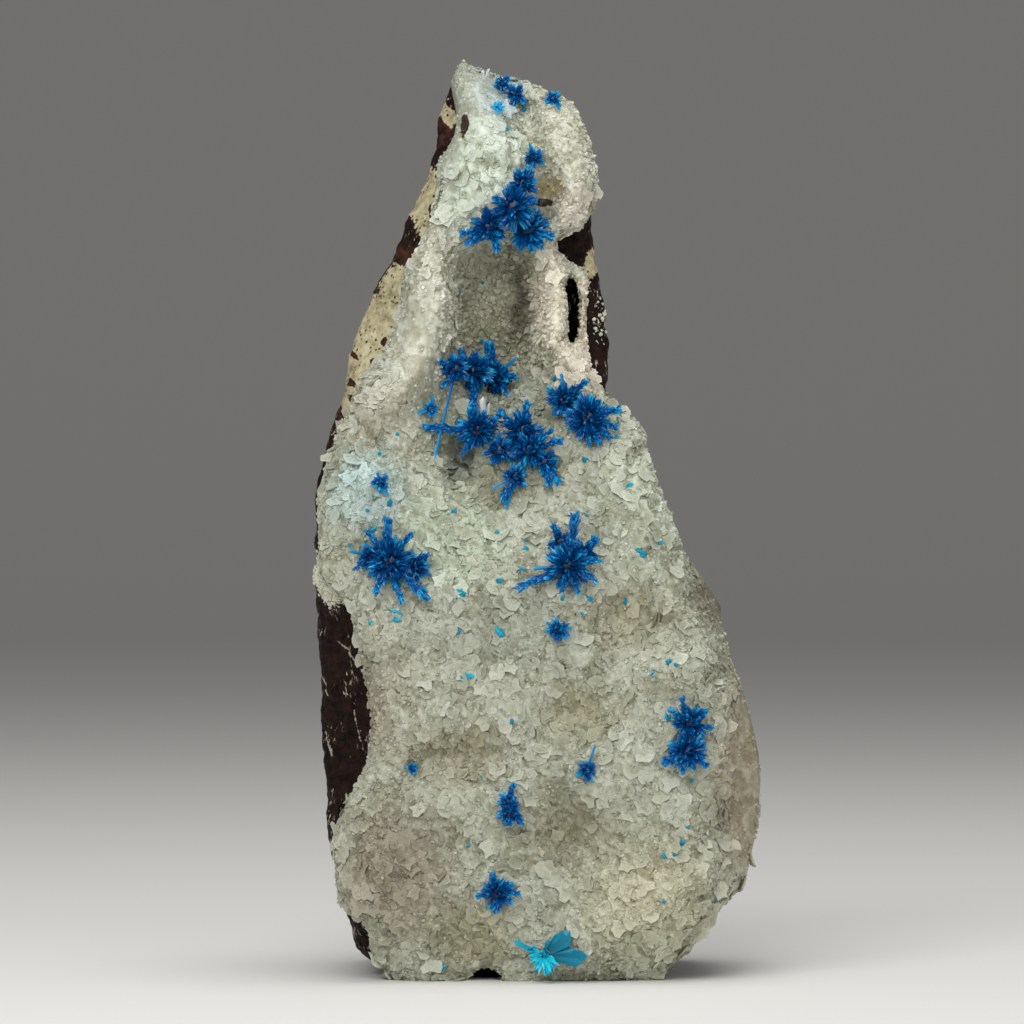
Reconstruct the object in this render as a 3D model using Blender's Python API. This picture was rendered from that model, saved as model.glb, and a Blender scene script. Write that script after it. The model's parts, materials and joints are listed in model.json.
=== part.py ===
"""Pentagonite sprays on a druse crust over a piece of basalt, about 100 mm tall.

X runs to the right, Z up, and the crystal-lined front faces -Y. The specimen stands on its
flat foot at Z = 0. Lengths are in millimetres here and are scaled to metres in the meshes.
"""

import math
import random

import bmesh
import bpy
from mathutils import Matrix, Vector, noise

MM = 0.001
HEIGHT = 100.0
GAP = 0.35
# Moves the finished specimen so that its box is centred over the origin.
CENTRE_SHIFT = (0.11, 1.66)

# Silhouette from the front, as (height, x) pairs.
LEFT_SIDE = [
    (0, -15.6), (1.2, -18.3), (2.3, -19.4), (4.5, -20.0), (7.8, -21.2), (12.2, -22.2),
    (20.9, -23.2), (31.9, -23.6), (40, -24.2), (52, -24.2), (56, -23.4), (62.6, -21.6),
    (68.1, -20.8), (72.5, -19.0), (77, -16.6), (81.2, -14.9), (86.7, -12.6), (88.9, -11.7),
    (94.4, -11.1), (97.7, -9.7), (100, -8.6),
]
RIGHT_SIDE = [
    (0, 12.9), (1.2, 14.5), (3.4, 16.5), (5.6, 18.0), (7.8, 20.2), (10, 22.5), (14.4, 23.4),
    (16.6, 24.0), (23.1, 24.2), (27.5, 23.3), (31.9, 22.0), (36.3, 20.4), (40.7, 19.8),
    (45.1, 16.3), (47.3, 15.3), (53.8, 12.8), (60.4, 11.2), (61.5, 10.0), (62.8, 7.6),
    (65.9, 8.1), (70.3, 7.8), (74.7, 7.0), (79.1, 6.3), (81.2, 5.8), (84.5, 6.9), (88.9, 6.3),
    (93.3, 5.0), (95.5, 3.6), (96.6, 0.9), (97.7, -2.5), (98.8, -6.3), (100, -7.9),
]

# Where the druse ends and bare rock shows beside it.
DRUSE_LEFT = [
    (0, -15.4), (1.4, -17.3), (2.9, -18.0), (6.1, -18.1), (7.2, -20.9), (10, -21.6),
    (15.7, -21.9), (18.4, -21.1), (20.8, -19.7), (22.5, -18.3), (27.9, -17.8), (31.4, -18.5),
    (36.5, -19.6), (40.2, -20.1), (41.8, -22.9), (44, -23.7), (52, -23.7), (56, -22.9),
    (58.8, -21.5), (62.6, -19.9), (65.4, -18.4), (68.1, -16.7), (72.5, -15.1), (76.8, -14.7),
    (79.1, -13.0), (82.9, -11.0), (88.8, -11.0), (90.3, -9.6), (92, -8.9), (95, -8.9),
    (96.3, -10.2), (97.7, -9.7), (100, -8.6),
]
DRUSE_RIGHT = [
    (0, 12.9), (1.2, 14.5), (3.4, 16.5), (5.6, 18.0), (7.8, 20.2), (10, 22.5), (14.4, 23.4),
    (16.6, 24.0), (23.1, 24.2), (27.5, 23.3), (31.9, 22.0), (36.3, 20.4), (40.7, 19.8),
    (45.1, 16.3), (47.3, 15.3), (53.8, 12.8), (60.4, 11.2), (61.5, 10.0), (62.8, 7.6),
    (65.0, 6.5), (66.4, 5.5), (76.6, 5.5), (77.8, 2.7), (80.0, 1.3), (81.4, 5.2), (84.5, 6.9),
    (88.9, 6.3), (93.3, 5.0), (95.5, 3.6), (96.6, 0.9), (97.7, -2.5), (98.8, -6.3),
    (100, -7.9),
]

# How far the druse stands forward of Y = 0.
FRONT_PROFILE = [
    (0, 13.5), (3, 15.5), (10, 16.8), (25, 17.4), (45, 15.8), (55, 13.6), (62, 11.2),
    (70, 8.8), (85, 8.2), (93, 6.6), (97, 4.6), (100, 2.4),
]
CRUST_THICKNESS = 3.6
LEAST_CRUST = 1.3
# Over the top the crust thins by this share, and its inner face is smoothed over this reach.
TOP_THINNING = 0.45
TOP_THINNING_HEIGHTS = (88.0, 100.0)
SMOOTHING_REACH = 2.4
# At its two edges the front falls back by this much, over this width.
LEFT_EDGE_FALL = (1.3, 0.9)
RIGHT_EDGE_FALL = (2.6, 2.2)
LUMP_RISE = 0.55
LUMP_SCALE = 0.33

# Fracture planes of the back: how far back at the middle of the foot, then the slopes along
# X and Z.
FRACTURES = [
    (17.0, 0.06, 0.03), (15.6, -0.16, 0.20), (25.5, 0.20, -0.185), (22.6, -0.34, -0.16),
    (30.5, -0.62, -0.10), (34.0, 0.90, -0.12), (14.4, 0.05, 0.55), (31.5, 0.04, -0.285),
    (25.0, 0.48, 0.0),
]
CHIP_HEIGHT = 0.9
CHIP_SCALE = (0.19, 0.16)
LEAST_BACK = 2.0

# The front layer ends in a step down to the right, as (height, x).
STEP_EDGE = [
    (0, 18.4), (13.4, 18.5), (21, 20.0), (28.4, 20.8), (32, 20.5), (38.2, 17.4), (45.7, 15.4),
    (50, 15.6),
]
STEP_DROP = 3.2
STEP_WIDTH = 0.9
STEP_ENDS = (48.0, 44.0)

# Domes and hollows of the front: x, height, half-width, half-height, rise. The margins are the
# shares of the half-widths over which each one fades in.
SWELL_MARGIN = (1.3, 0.0)
HOLLOW_MARGIN = (1.25, 0.35)
SWELLS = [
    (-5.5, 88.4, 5.4, 8.6, 3.4), (-7.4, 96.6, 3.0, 3.6, 1.0), (3.1, 88.6, 4.4, 7.6, 2.8),
    (3.6, 82.6, 3.4, 2.6, 1.2), (11.2, 52.7, 5.6, 8.0, 2.4), (-18.4, 52.7, 4.6, 6.0, 1.6),
    (-1.9, 38.5, 10.0, 8.0, 1.0), (13.4, 10.0, 6.0, 6.5, 1.6), (6.0, 4.5, 6.0, 5.0, 1.2),
    (-15.0, 10.0, 5.0, 6.5, 1.4), (15.6, 34.1, 4.2, 5.5, 1.8), (-12.9, 29.7, 5.2, 5.5, 1.4),
    (-3.2, 39.4, 2.6, 3.2, 1.0), (-16.0, 36.8, 3.6, 4.0, 1.0),
]
HOLLOWS = [
    (-4.1, 72.0, 5.4, 10.0, 8.0), (-4.1, 63.6, 7.4, 5.0, 3.6), (-8.3, 56.2, 3.4, 2.6, 2.4),
    (-4.1, 54.9, 9.0, 6.5, 1.6), (1.2, 84.9, 1.7, 1.8, 2.4), (10.1, 39.0, 3.8, 3.6, 1.9),
    (4.7, 28.6, 4.2, 2.6, 1.6), (3.6, 16.0, 5.0, 4.0, 1.9), (-8.0, 24.2, 5.0, 2.6, 1.7),
    (-10.7, 13.8, 3.2, 3.0, 1.5), (-7.4, 4.5, 3.2, 2.6, 1.6),
]

# Ridges (positive) and grooves (negative): half-width, rise, then the (x, height) points.
RIDGE_MARGIN = (1.5, 0.3)
RIDGES = [
    (2.5, 3.2, [(-11.2, 81.5), (-11.8, 75.8), (-12.0, 70.3), (-13.4, 66.4), (-15.6, 63.2),
                (-19.6, 60.6)]),
    (1.9, 1.5, [(-2.3, 79.1), (-0.6, 74.7), (1.0, 69.7), (3.2, 65.9), (6.6, 63.4)]),
    (1.3, -2.2, [(-3.0, 98.0), (-0.8, 92.2), (-0.5, 88.9), (0.8, 84.4)]),
]

# Scalloped plates that overlap like roof tiles on the lower front.
PLATE_SEED = 11
PLATE_SPACING = 4.6
PLATE_RADIUS = (2.2, 4.2)
PLATE_LEAN = (-0.18, 0.30)
PLATE_DRIFT = 1.2
PLATE_ROWS = 0.8
PLATE_SIDES = (-24.0, 24.0)
PLATE_RISE = 1.25
PLATE_TOP = 60.0
PLATE_FADE = (2.0, -8.0)

# The mesh of the crust and the rock: rows up the height, columns across it.
ROW_STEP = 2.3
ROWS_TOP = 97.0
ROW_CLEARANCE = 0.42
MATRIX_TOP = 99.0
EXTRA_ROWS = [1.2, 61.6, 62.8, 76.6, 77.8, 80.0, 81.3, 97.6, 99.2]
FACET_JITTER = 0.6
ROW_JITTER = 0.45
JITTER_SCALE = 1.7
JITTER_TOP = 94.0
NOISE_SHIFT = Vector((9.3, 4.1, -7.9))
FRONT_COLUMNS = 29
INNER_COLUMNS = 7
BACK_COLUMNS = 7
# The peak of the crust and of the rock behind it, as (Y, height).
CRUST_PEAK = (-1.0, 100.0)
MATRIX_PEAK = (0.9, 98.9)

# Sides of the rock: how far they tuck in behind the druse, and how they round off to the back.
INNER_INSET = 0.15
LEFT_MARGIN = 0.1
LEAST_BARE = 0.6
RIGHT_TUCK = 0.25
LEAST_ROCK = 1.6
RIGHT_START = 0.7
RIGHT_SLOPE = 0.25
RIGHT_LEAN = 0.2
FLANK_START = 0.8
FLANK_SLOPE = 0.75
FLANK_LIMIT = 0.7
FLANK_LEAN = 0.3
BACK_INSET = 1.4
BACK_ROUND = 1.8
BACK_ROUND_POWER = 4
SIDE_ROUGHNESS = 0.5
SIDE_GRAIN = 0.45

# The slot that goes in beside the hollow, and the nick under the foot, as (x, height).
SLOT = [
    (2.95, 75.4), (3.3, 76.2), (4.15, 76.1), (4.55, 75.0), (4.5, 70.4), (4.2, 68.9),
    (3.5, 68.3), (3.1, 69.6),
]
SLOT_FRONT = -20.0
SLOT_DEPTH = 9.0
NICK = [(-8.0, -1.0), (-7.2, 0.9), (-5.6, 1.5), (-4.2, 0.8), (-3.4, -1.0)]
NICK_REACH = 6.0
NICK_DEPTH = 5.0

# The single crystals: flattened four-sided columns that widen from the foot and end in a point.
BLADE_SIDES = 4
BLADE_FLATNESS = 0.62
BLADE_RADII = (0.36, 0.5)
POINT_SHARE = 0.16
POINT_OFFSET = 0.12

# Each spray: its balls as (x, height, radius), each joined to the one before it, then the blades
# that show, as (ball, tip x, tip height, how far the tip stands forward of the ball, width).
SPRAYS = {
    "spray_crest": dict(
        balls=[(-3.8, 97.1, 0.8), (-2.4, 95.9, 0.95)],
        blades=[(1, -1.3, 95.0, 0.7, 0.5), (1, -2.9, 94.6, 0.9, 0.5), (0, -4.6, 97.2, 0.6, 0.5)],
    ),
    "spray_crest_right": dict(
        balls=[(1.7, 95.3, 0.7)],
        blades=[(0, 2.4, 94.0, 0.4, 0.35), (0, 0.8, 94.7, 0.5, 0.35)],
    ),
    "spray_crest_cyan": dict(balls=[(-4.3, 94.2, 0.5)], blades=[(0, -3.6, 93.7, 0.5, 0.3)]),
    "spray_upper_fan": dict(
        balls=[(-0.5, 88.7, 0.9), (-1.6, 85.8, 1.4), (-2.6, 83.2, 2.0), (-5.2, 81.2, 1.7),
               (-1.0, 81.0, 1.9)],
        blades=[(0, -0.9, 90.3, 0.6, 0.4), (1, -1.2, 87.6, 1.0, 0.6), (3, -8.5, 80.3, 1.2, 0.6),
                (3, -7.7, 79.2, 1.0, 0.8), (3, -4.3, 78.4, 1.4, 0.7), (4, -0.6, 78.6, 1.4, 0.9),
                (4, 1.7, 80.0, 1.4, 0.8), (4, 0.6, 79.2, 1.0, 0.5),
                (2, -4.8, 84.2, 2.0, 0.6)],
    ),
    "spray_centre_group": dict(
        balls=[(-7.0, 65.5, 1.8), (-4.9, 65.0, 1.6), (-8.9, 65.8, 1.4), (-6.6, 59.1, 1.8),
               (-4.2, 56.9, 1.4), (-1.7, 59.1, 1.8), (-1.0, 57.0, 1.7), (0.8, 55.7, 1.2),
               (-2.4, 54.2, 1.2)],
        blades=[(1, -5.4, 68.9, 1.2, 1.1), (1, -2.2, 67.2, 1.6, 0.45), (1, -2.2, 65.1, 2.0, 0.8),
                (1, -3.0, 63.0, 1.2, 0.7), (2, -10.7, 66.7, 1.0, 0.6), (2, -10.3, 63.8, 0.6, 0.5),
                (2, -11.2, 55.8, 0.3, 0.35), (0, -7.0, 60.0, 0.4, 0.9), (0, -8.4, 68.0, 1.6, 0.6),
                (3, -12.5, 59.5, 1.6, 0.9), (3, -7.2, 61.8, 1.0, 0.9), (3, -3.9, 60.8, 1.8, 0.5),
                (3, -8.2, 56.6, 1.4, 0.5), (5, -4.2, 61.2, 1.0, 0.6), (5, -1.2, 62.2, 1.6, 0.8),
                (6, 2.6, 58.1, 1.4, 0.6), (6, 1.6, 59.2, 2.0, 0.6), (7, 2.2, 53.4, 1.2, 0.8),
                (7, 1.2, 53.0, 1.6, 0.6), (8, -3.9, 51.5, 1.0, 0.9), (8, -3.5, 50.6, 0.8, 0.45),
                (8, -5.0, 52.8, 0.8, 0.35)],
    ),
    "spray_lip": dict(
        balls=[(-11.6, 61.4, 0.65)],
        blades=[(0, -13.0, 61.0, 0.5, 0.4), (0, -10.9, 60.5, 0.6, 0.35),
                (0, -11.3, 62.9, 0.4, 0.35)],
    ),
    "spray_right_shoulder": dict(
        balls=[(2.9, 62.4, 1.6), (5.4, 60.4, 2.0)],
        blades=[(0, 2.5, 65.3, 1.0, 0.45), (0, 5.2, 64.5, 1.4, 0.8), (0, 1.1, 63.6, 1.0, 0.5),
                (0, 3.0, 60.2, 1.2, 0.5), (1, 8.9, 61.5, 1.8, 0.8), (1, 8.6, 59.3, 1.4, 0.6),
                (1, 6.7, 57.6, 1.2, 0.7), (1, 5.4, 57.5, 1.4, 0.5), (1, 7.9, 58.1, 1.2, 0.5)],
    ),
    "spray_left_small": dict(
        balls=[(-16.8, 53.4, 0.75)],
        blades=[(0, -16.0, 52.0, 0.5, 0.4), (0, -17.2, 54.6, 0.5, 0.4)],
    ),
    "spray_left": dict(
        balls=[(-15.8, 45.0, 2.1), (-13.0, 44.5, 1.4), (-17.8, 45.6, 1.3)],
        blades=[(0, -16.1, 49.7, 1.2, 1.0), (0, -13.4, 48.2, 1.4, 0.6), (0, -11.6, 41.0, 1.4, 0.9),
                (0, -14.5, 40.4, 1.2, 0.7), (0, -17.4, 41.6, 1.2, 0.6), (2, -20.2, 46.2, 0.8, 0.4),
                (2, -19.6, 44.2, 0.9, 0.5), (1, -11.5, 45.9, 1.0, 0.5), (0, -18.4, 48.6, 1.0, 0.5)],
    ),
    "spray_middle": dict(
        balls=[(3.3, 44.6, 2.0), (2.4, 47.2, 1.2), (5.0, 46.0, 1.3)],
        blades=[(0, -2.5, 42.1, 1.3, 0.9), (0, -0.6, 44.3, 1.2, 0.45), (1, 1.5, 49.0, 1.2, 0.6),
                (0, 3.9, 50.3, 1.4, 1.0), (2, 6.2, 47.6, 1.2, 0.7), (0, 6.7, 45.3, 1.4, 0.5),
                (0, 6.2, 42.9, 1.2, 0.7), (0, 2.6, 41.7, 1.2, 0.6), (0, 4.4, 41.7, 1.2, 0.6)],
    ),
    "spray_middle_small": dict(
        balls=[(2.1, 37.8, 1.0)],
        blades=[(0, 3.6, 38.0, 0.6, 0.4), (0, 0.8, 38.6, 0.6, 0.4), (0, 2.9, 36.7, 0.6, 0.4)],
    ),
    "spray_right": dict(
        balls=[(16.2, 27.9, 1.6), (15.9, 24.9, 1.7)],
        blades=[(1, 13.3, 23.6, 1.2, 0.9), (1, 17.9, 23.4, 1.2, 0.8), (0, 15.2, 30.6, 1.0, 0.6),
                (0, 17.9, 29.3, 1.0, 0.6), (0, 14.0, 29.4, 0.9, 0.5), (1, 15.2, 22.6, 1.2, 0.5),
                (0, 18.6, 27.2, 0.9, 0.5)],
    ),
    "spray_lower_left": dict(balls=[(-13.4, 23.0, 0.5)], blades=[(0, -12.9, 22.5, 0.4, 0.3)]),
    "spray_lower_right": dict(
        balls=[(5.2, 22.8, 0.9)],
        blades=[(0, 6.1, 25.6, 0.6, 0.3), (0, 4.2, 23.6, 0.6, 0.35), (0, 5.9, 21.6, 0.6, 0.35)],
    ),
    "spray_lower_middle": dict(
        balls=[(-3.0, 18.2, 1.15), (-3.2, 19.4, 0.8)],
        blades=[(1, -2.6, 21.4, 0.6, 0.5), (0, -1.6, 17.1, 0.8, 0.5), (0, -4.4, 18.6, 0.8, 0.4),
                (1, -4.2, 20.4, 0.7, 0.35)],
    ),
    "spray_bottom": dict(
        balls=[(-4.4, 9.7, 1.5)],
        blades=[(0, -6.6, 9.5, 0.9, 0.5), (0, -1.9, 9.7, 0.9, 0.5), (0, -4.9, 11.9, 0.8, 0.5),
                (0, -2.6, 11.0, 0.9, 0.45), (0, -4.6, 7.7, 1.0, 0.5)],
    ),
    "spray_foot_fan": dict(
        balls=[(0.5, 3.0, 0.8)],
        blades=[(0, -2.6, 4.6, 0.8, 0.4), (0, 3.4, 5.5, 1.2, 1.6), (0, 5.1, 2.9, 1.0, 1.5),
                (0, -0.3, 0.9, 0.9, 1.0), (0, 2.4, 0.8, 1.0, 1.1), (0, -1.5, 3.0, 0.9, 0.8),
                (0, 1.2, 5.0, 1.4, 0.8)],
    ),
}
SPRAY_SEED = 100
BALL_STAND = 0.15
BALL_ROUGHNESS = (0.93, 1.07)
SEAT_REACH = 0.7
SPIKE_REACH = (1.35, 1.75)
# Only faces that turn at least this far to the front grow spikes.
BACKMOST_FACE = 0.3
FINE_BALL = 2.05
LONG_BLADE = 2.0
BLADE_FOOT = 0.12
BLADE_FOOT_WIDTH = 1.25
LINK_SHARE = 1.6
TIP_CLEARANCE = 0.35
FOOT_CLEARANCE = 0.4
FLAT_ENOUGH = math.radians(5.0)

DRUSE_COLOUR = (0.50, 0.52, 0.44)
BASALT_COLOUR = (0.055, 0.028, 0.020)
SPRAY_COLOUR = (0.004, 0.080, 0.300)
FAN_COLOUR = (0.004, 0.290, 0.400)
DRUSE_ROUGHNESS = 0.42
BASALT_ROUGHNESS = 0.85
SPRAY_ROUGHNESS = 0.18


def clear_scene():
    for obj in list(bpy.data.objects):
        bpy.data.objects.remove(obj)


def principled(name, colour, roughness):
    mat = bpy.data.materials.new(name)
    mat.use_nodes = True
    shader = mat.node_tree.nodes["Principled BSDF"]
    shader.inputs["Base Color"].default_value = (*colour, 1.0)
    shader.inputs["Roughness"].default_value = roughness
    shader.inputs["Metallic"].default_value = 0.0
    return mat


def read_profile(points, height):
    """The value at this height on the straight runs through the points."""
    if height <= points[0][0]:
        return points[0][1]
    for (low, a), (high, b) in zip(points, points[1:]):
        if height <= high:
            return a + (b - a) * (height - low) / (high - low)
    return points[-1][1]


def smooth_step(low, high, value):
    t = min(1.0, max(0.0, (value - low) / (high - low)))
    return t * t * (3.0 - 2.0 * t)


def distance_to_run(x, z, points):
    """The shortest distance from (x, z) to a run of straight stretches."""
    best = math.inf
    for (ax, az), (bx, bz) in zip(points, points[1:]):
        dx, dz = bx - ax, bz - az
        t = ((x - ax) * dx + (z - az) * dz) / (dx * dx + dz * dz)
        t = min(1.0, max(0.0, t))
        best = min(best, math.hypot(x - ax - t * dx, z - az - t * dz))
    return best


def scatter_plates():
    """Centres, radii and tilts of the scalloped plates, spread evenly with a seeded jitter."""
    rng = random.Random(PLATE_SEED)
    plates = []
    row = 0
    z = 1.0
    while z < PLATE_TOP:
        x = PLATE_SIDES[0] + (row % 2) * PLATE_SPACING / 2
        while x < PLATE_SIDES[1]:
            px = x + rng.uniform(-PLATE_DRIFT, PLATE_DRIFT)
            pz = z + rng.uniform(-PLATE_DRIFT, PLATE_DRIFT)
            plates.append((px, pz, rng.uniform(*PLATE_RADIUS), rng.uniform(*PLATE_LEAN)))
            x += PLATE_SPACING
        z += PLATE_SPACING * PLATE_ROWS
        row += 1
    return plates


PLATES = scatter_plates()


def plate_rise(x, z):
    """The highest plate over (x, z): a low dome that leans outwards at its upper rim."""
    best = 0.0
    for px, pz, radius, lean in PLATES:
        dx, dz = x - px, z - pz
        if abs(dx) > radius or abs(dz) > radius:
            continue
        share = 1.0 - (dx * dx + dz * dz) / (radius * radius)
        if share > 0.0:
            best = max(best, math.sqrt(share) * (PLATE_RISE + lean * dz))
    return best * smooth_step(PLATE_TOP + PLATE_FADE[0], PLATE_TOP + PLATE_FADE[1], z)


def broad_front(x, z):
    """How far the druse stands forward of Y = 0, without its plates and lumps."""
    depth = read_profile(FRONT_PROFILE, z)
    for cx, cz, half_x, half_z, rise in SWELLS:
        share = ((x - cx) / half_x) ** 2 + ((z - cz) / half_z) ** 2
        depth += rise * smooth_step(*SWELL_MARGIN, share)
    for cx, cz, half_x, half_z, fall in HOLLOWS:
        share = ((x - cx) / half_x) ** 2 + ((z - cz) / half_z) ** 2
        depth -= fall * smooth_step(*HOLLOW_MARGIN, share)
    for half_width, rise, points in RIDGES:
        share = distance_to_run(x, z, points) / half_width
        depth += rise * smooth_step(*RIDGE_MARGIN, share)
    step_x = read_profile(STEP_EDGE, z)
    step_share = smooth_step(step_x - STEP_WIDTH / 2, step_x + STEP_WIDTH / 2, x)
    return depth - STEP_DROP * step_share * smooth_step(*STEP_ENDS, z)


def front_depth(x, z):
    """How far the druse stands forward of Y = 0, never thinner than LEAST_CRUST."""
    depth = broad_front(x, z) + plate_rise(x, z)
    depth += LUMP_RISE * noise.noise(Vector((x * LUMP_SCALE, z * LUMP_SCALE, 3.7)))
    to_left = max(0.0, x - read_profile(DRUSE_LEFT, z))
    to_right = max(0.0, read_profile(DRUSE_RIGHT, z) - x)
    depth -= LEFT_EDGE_FALL[0] * math.exp(-to_left / LEFT_EDGE_FALL[1])
    depth -= RIGHT_EDGE_FALL[0] * math.exp(-to_right / RIGHT_EDGE_FALL[1])
    return max(depth, inner_depth(x, z) + LEAST_CRUST)


def inner_depth(x, z):
    """Where the druse meets the rock: the broad front, thickened and smoothed."""
    reach = SMOOTHING_REACH
    ring = [(0.0, 0.0), (reach, 0.0), (-reach, 0.0), (0.0, reach), (0.0, -reach)]
    depths = [broad_front(x + dx, min(HEIGHT, max(0.0, z + dz))) for dx, dz in ring]
    smooth = 0.5 * (min(depths) + sum(depths) / len(depths))
    thin = TOP_THINNING * smooth_step(*TOP_THINNING_HEIGHTS, z)
    return smooth - CRUST_THICKNESS * (1.0 - thin)


def rows():
    """Heights of the loft's rows, close together where the outline changes fast."""
    heights = [0.0, *EXTRA_ROWS]
    z = ROW_STEP * 1.5
    while z < ROWS_TOP:
        if min(abs(z - extra) for extra in EXTRA_ROWS) > ROW_STEP * ROW_CLEARANCE:
            heights.append(z)
        z += ROW_STEP
    return sorted(heights)


def loft(name, rings, tip, other_diagonal=False):
    """A closed mesh through rings of equal length, with a flat foot and one point on top."""
    bm = bmesh.new()
    loops = [[bm.verts.new(Vector(p) * MM) for p in ring] for ring in rings]
    bm.faces.new(reversed(loops[0]))
    for low, high in zip(loops, loops[1:]):
        for i in range(len(low)):
            j = (i + 1) % len(low)
            if other_diagonal:
                bm.faces.new((low[i], low[j], high[i]))
                bm.faces.new((low[j], high[j], high[i]))
            else:
                bm.faces.new((low[i], low[j], high[j]))
                bm.faces.new((low[i], high[j], high[i]))
    top = bm.verts.new(Vector(tip) * MM)
    for i in range(len(loops[-1])):
        j = (i + 1) % len(loops[-1])
        bm.faces.new((loops[-1][i], loops[-1][j], top))
    bmesh.ops.recalc_face_normals(bm, faces=bm.faces)
    return finished_mesh(name, bm)


def finished_mesh(name, bm):
    mesh = bpy.data.meshes.new(name)
    bm.to_mesh(mesh)
    bm.free()
    return mesh


def noise_pair(point):
    """Two noise values at the point that don't depend on each other."""
    return noise.noise(point + NOISE_SHIFT), noise.noise(point - NOISE_SHIFT)


def jittered(x, z, spacing):
    """The point moved a little within its cell, so that the facets don't line up in rows."""
    shift_x, shift_z = noise_pair(Vector((x * JITTER_SCALE, z * JITTER_SCALE, 5.5)))
    return x + spacing * FACET_JITTER * shift_x, z + ROW_JITTER * shift_z


def crust_ring(z):
    left, right = read_profile(DRUSE_LEFT, z), read_profile(DRUSE_RIGHT, z)
    ring = []
    spacing = (right - left) / (FRONT_COLUMNS - 1)
    loose_row = 0.0 < z < JITTER_TOP and z not in EXTRA_ROWS
    for i in range(FRONT_COLUMNS):
        x = left + spacing * i
        loose = loose_row and 0 < i < FRONT_COLUMNS - 1
        x_here, z_here = jittered(x, z, spacing) if loose else (x, z)
        ring.append((x_here, -front_depth(x_here, z_here), z_here))
    for x, y in interface(z):
        ring.append((x, y, z))
    return ring


def interface(z):
    """Points from right to left along the back of the druse."""
    left, right = read_profile(DRUSE_LEFT, z), read_profile(DRUSE_RIGHT, z)
    start = right - INNER_INSET
    width = right - left - 2.0 * INNER_INSET
    points = []
    for j in range(INNER_COLUMNS):
        x = start - width * j / (INNER_COLUMNS - 1)
        points.append((x, -inner_depth(x, z)))
    return points


def back_depth(x, z):
    """The broken back of the rock, where the nearest of several fracture planes is the surface."""
    planes = [depth + slope_x * x + slope_z * z for depth, slope_x, slope_z in FRACTURES]
    depth = min(planes)
    chip = noise.noise(Vector((x * CHIP_SCALE[0], z * CHIP_SCALE[1], 2.3)))
    return max(depth + CHIP_HEIGHT * chip, LEAST_BACK)


def matrix_ring(z):
    """One level of the rock: behind the druse, round the right side, along the back, and home
    over the bare left flank."""
    front = [(x, y + GAP) for x, y in reversed(interface(z))]
    druse_left, front_left = front[0]
    druse_right, front_right = front[-1]
    left = min(read_profile(LEFT_SIDE, z), druse_left - LEFT_MARGIN)
    right = read_profile(RIGHT_SIDE, z)
    bare_right = right - druse_right
    if bare_right < LEAST_BARE:
        right = druse_right - RIGHT_TUCK
    back = back_run(z, left, right, front_left, front_right)
    back_left = max(back_depth(left + BACK_INSET, z) - BACK_ROUND, front_left + LEAST_ROCK)
    back_right = max(back_depth(right - BACK_INSET, z) - BACK_ROUND, front_right + LEAST_ROCK)
    right_y = front_right + RIGHT_START + RIGHT_SLOPE * max(0.0, bare_right)
    flank_y = front_left + FLANK_START + FLANK_SLOPE * (druse_left - left)
    flank_y = min(flank_y, front_left + FLANK_LIMIT * (back_left - front_left))
    side = [(right, right_y), (right - RIGHT_LEAN, right_y + 0.55 * (back_right - right_y))]
    side += back
    side += [(left + FLANK_LEAN, flank_y + 0.5 * (back_left - flank_y)), (left, flank_y)]
    ring = [(x, y, z) for x, y in front]
    for x, y in side:
        rough_x, rough_y = noise_pair(Vector((x, y, z)) * SIDE_GRAIN)
        ring.append((x + SIDE_ROUGHNESS * rough_x, y + SIDE_ROUGHNESS * rough_y, z))
    return ring


def back_run(z, left, right, front_left, front_right):
    """Points from right to left along the broken back, rounded off at both ends."""
    points = []
    for j in range(BACK_COLUMNS):
        share = j / (BACK_COLUMNS - 1)
        x = right - BACK_INSET + (left - right + 2.0 * BACK_INSET) * share
        rounding = BACK_ROUND * abs(2.0 * share - 1.0) ** BACK_ROUND_POWER
        least = front_right + (front_left - front_right) * share + LEAST_ROCK
        points.append((x, max(back_depth(x, z) - rounding, least)))
    return points


def link_object(name, mesh, collection=None):
    obj = bpy.data.objects.new(name, mesh)
    (collection or bpy.context.scene.collection).objects.link(obj)
    return obj


def make_object(name, mesh, mat):
    mesh.materials.clear()
    mesh.materials.append(mat)
    return link_object(name, mesh)


def hide_helper(obj):
    obj.hide_render = True
    obj.display_type = "WIRE"
    return obj


def extruded_outline(name, outline, front_y, back_y):
    """A straight-sided cutter: the outline in X and Z, drawn along Y."""
    bm = bmesh.new()
    face = bm.faces.new([bm.verts.new((x * MM, front_y * MM, z * MM)) for x, z in outline])
    grown = bmesh.ops.extrude_face_region(bm, geom=[face])
    moved = [v for v in grown["geom"] if isinstance(v, bmesh.types.BMVert)]
    bmesh.ops.translate(bm, verts=moved, vec=(0.0, (back_y - front_y) * MM, 0.0))
    bmesh.ops.recalc_face_normals(bm, faces=bm.faces)
    return hide_helper(link_object(name, finished_mesh(name, bm)))


def cut(obj, cutter):
    boolean = obj.modifiers.new("cut_" + cutter.name, "BOOLEAN")
    boolean.operation = "DIFFERENCE"
    boolean.object = cutter
    boolean.solver = "EXACT"


def join(obj, collection):
    boolean = obj.modifiers.new("join", "BOOLEAN")
    boolean.operation = "UNION"
    boolean.operand_type = "COLLECTION"
    boolean.collection = collection
    boolean.solver = "EXACT"
    boolean.use_self = True


def new_collection(name):
    collection = bpy.data.collections.new(name)
    bpy.context.scene.collection.children.link(collection)
    return collection


def evaluated_mesh(obj):
    graph = bpy.context.evaluated_depsgraph_get()
    return bpy.data.meshes.new_from_object(obj.evaluated_get(graph), depsgraph=graph)


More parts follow.
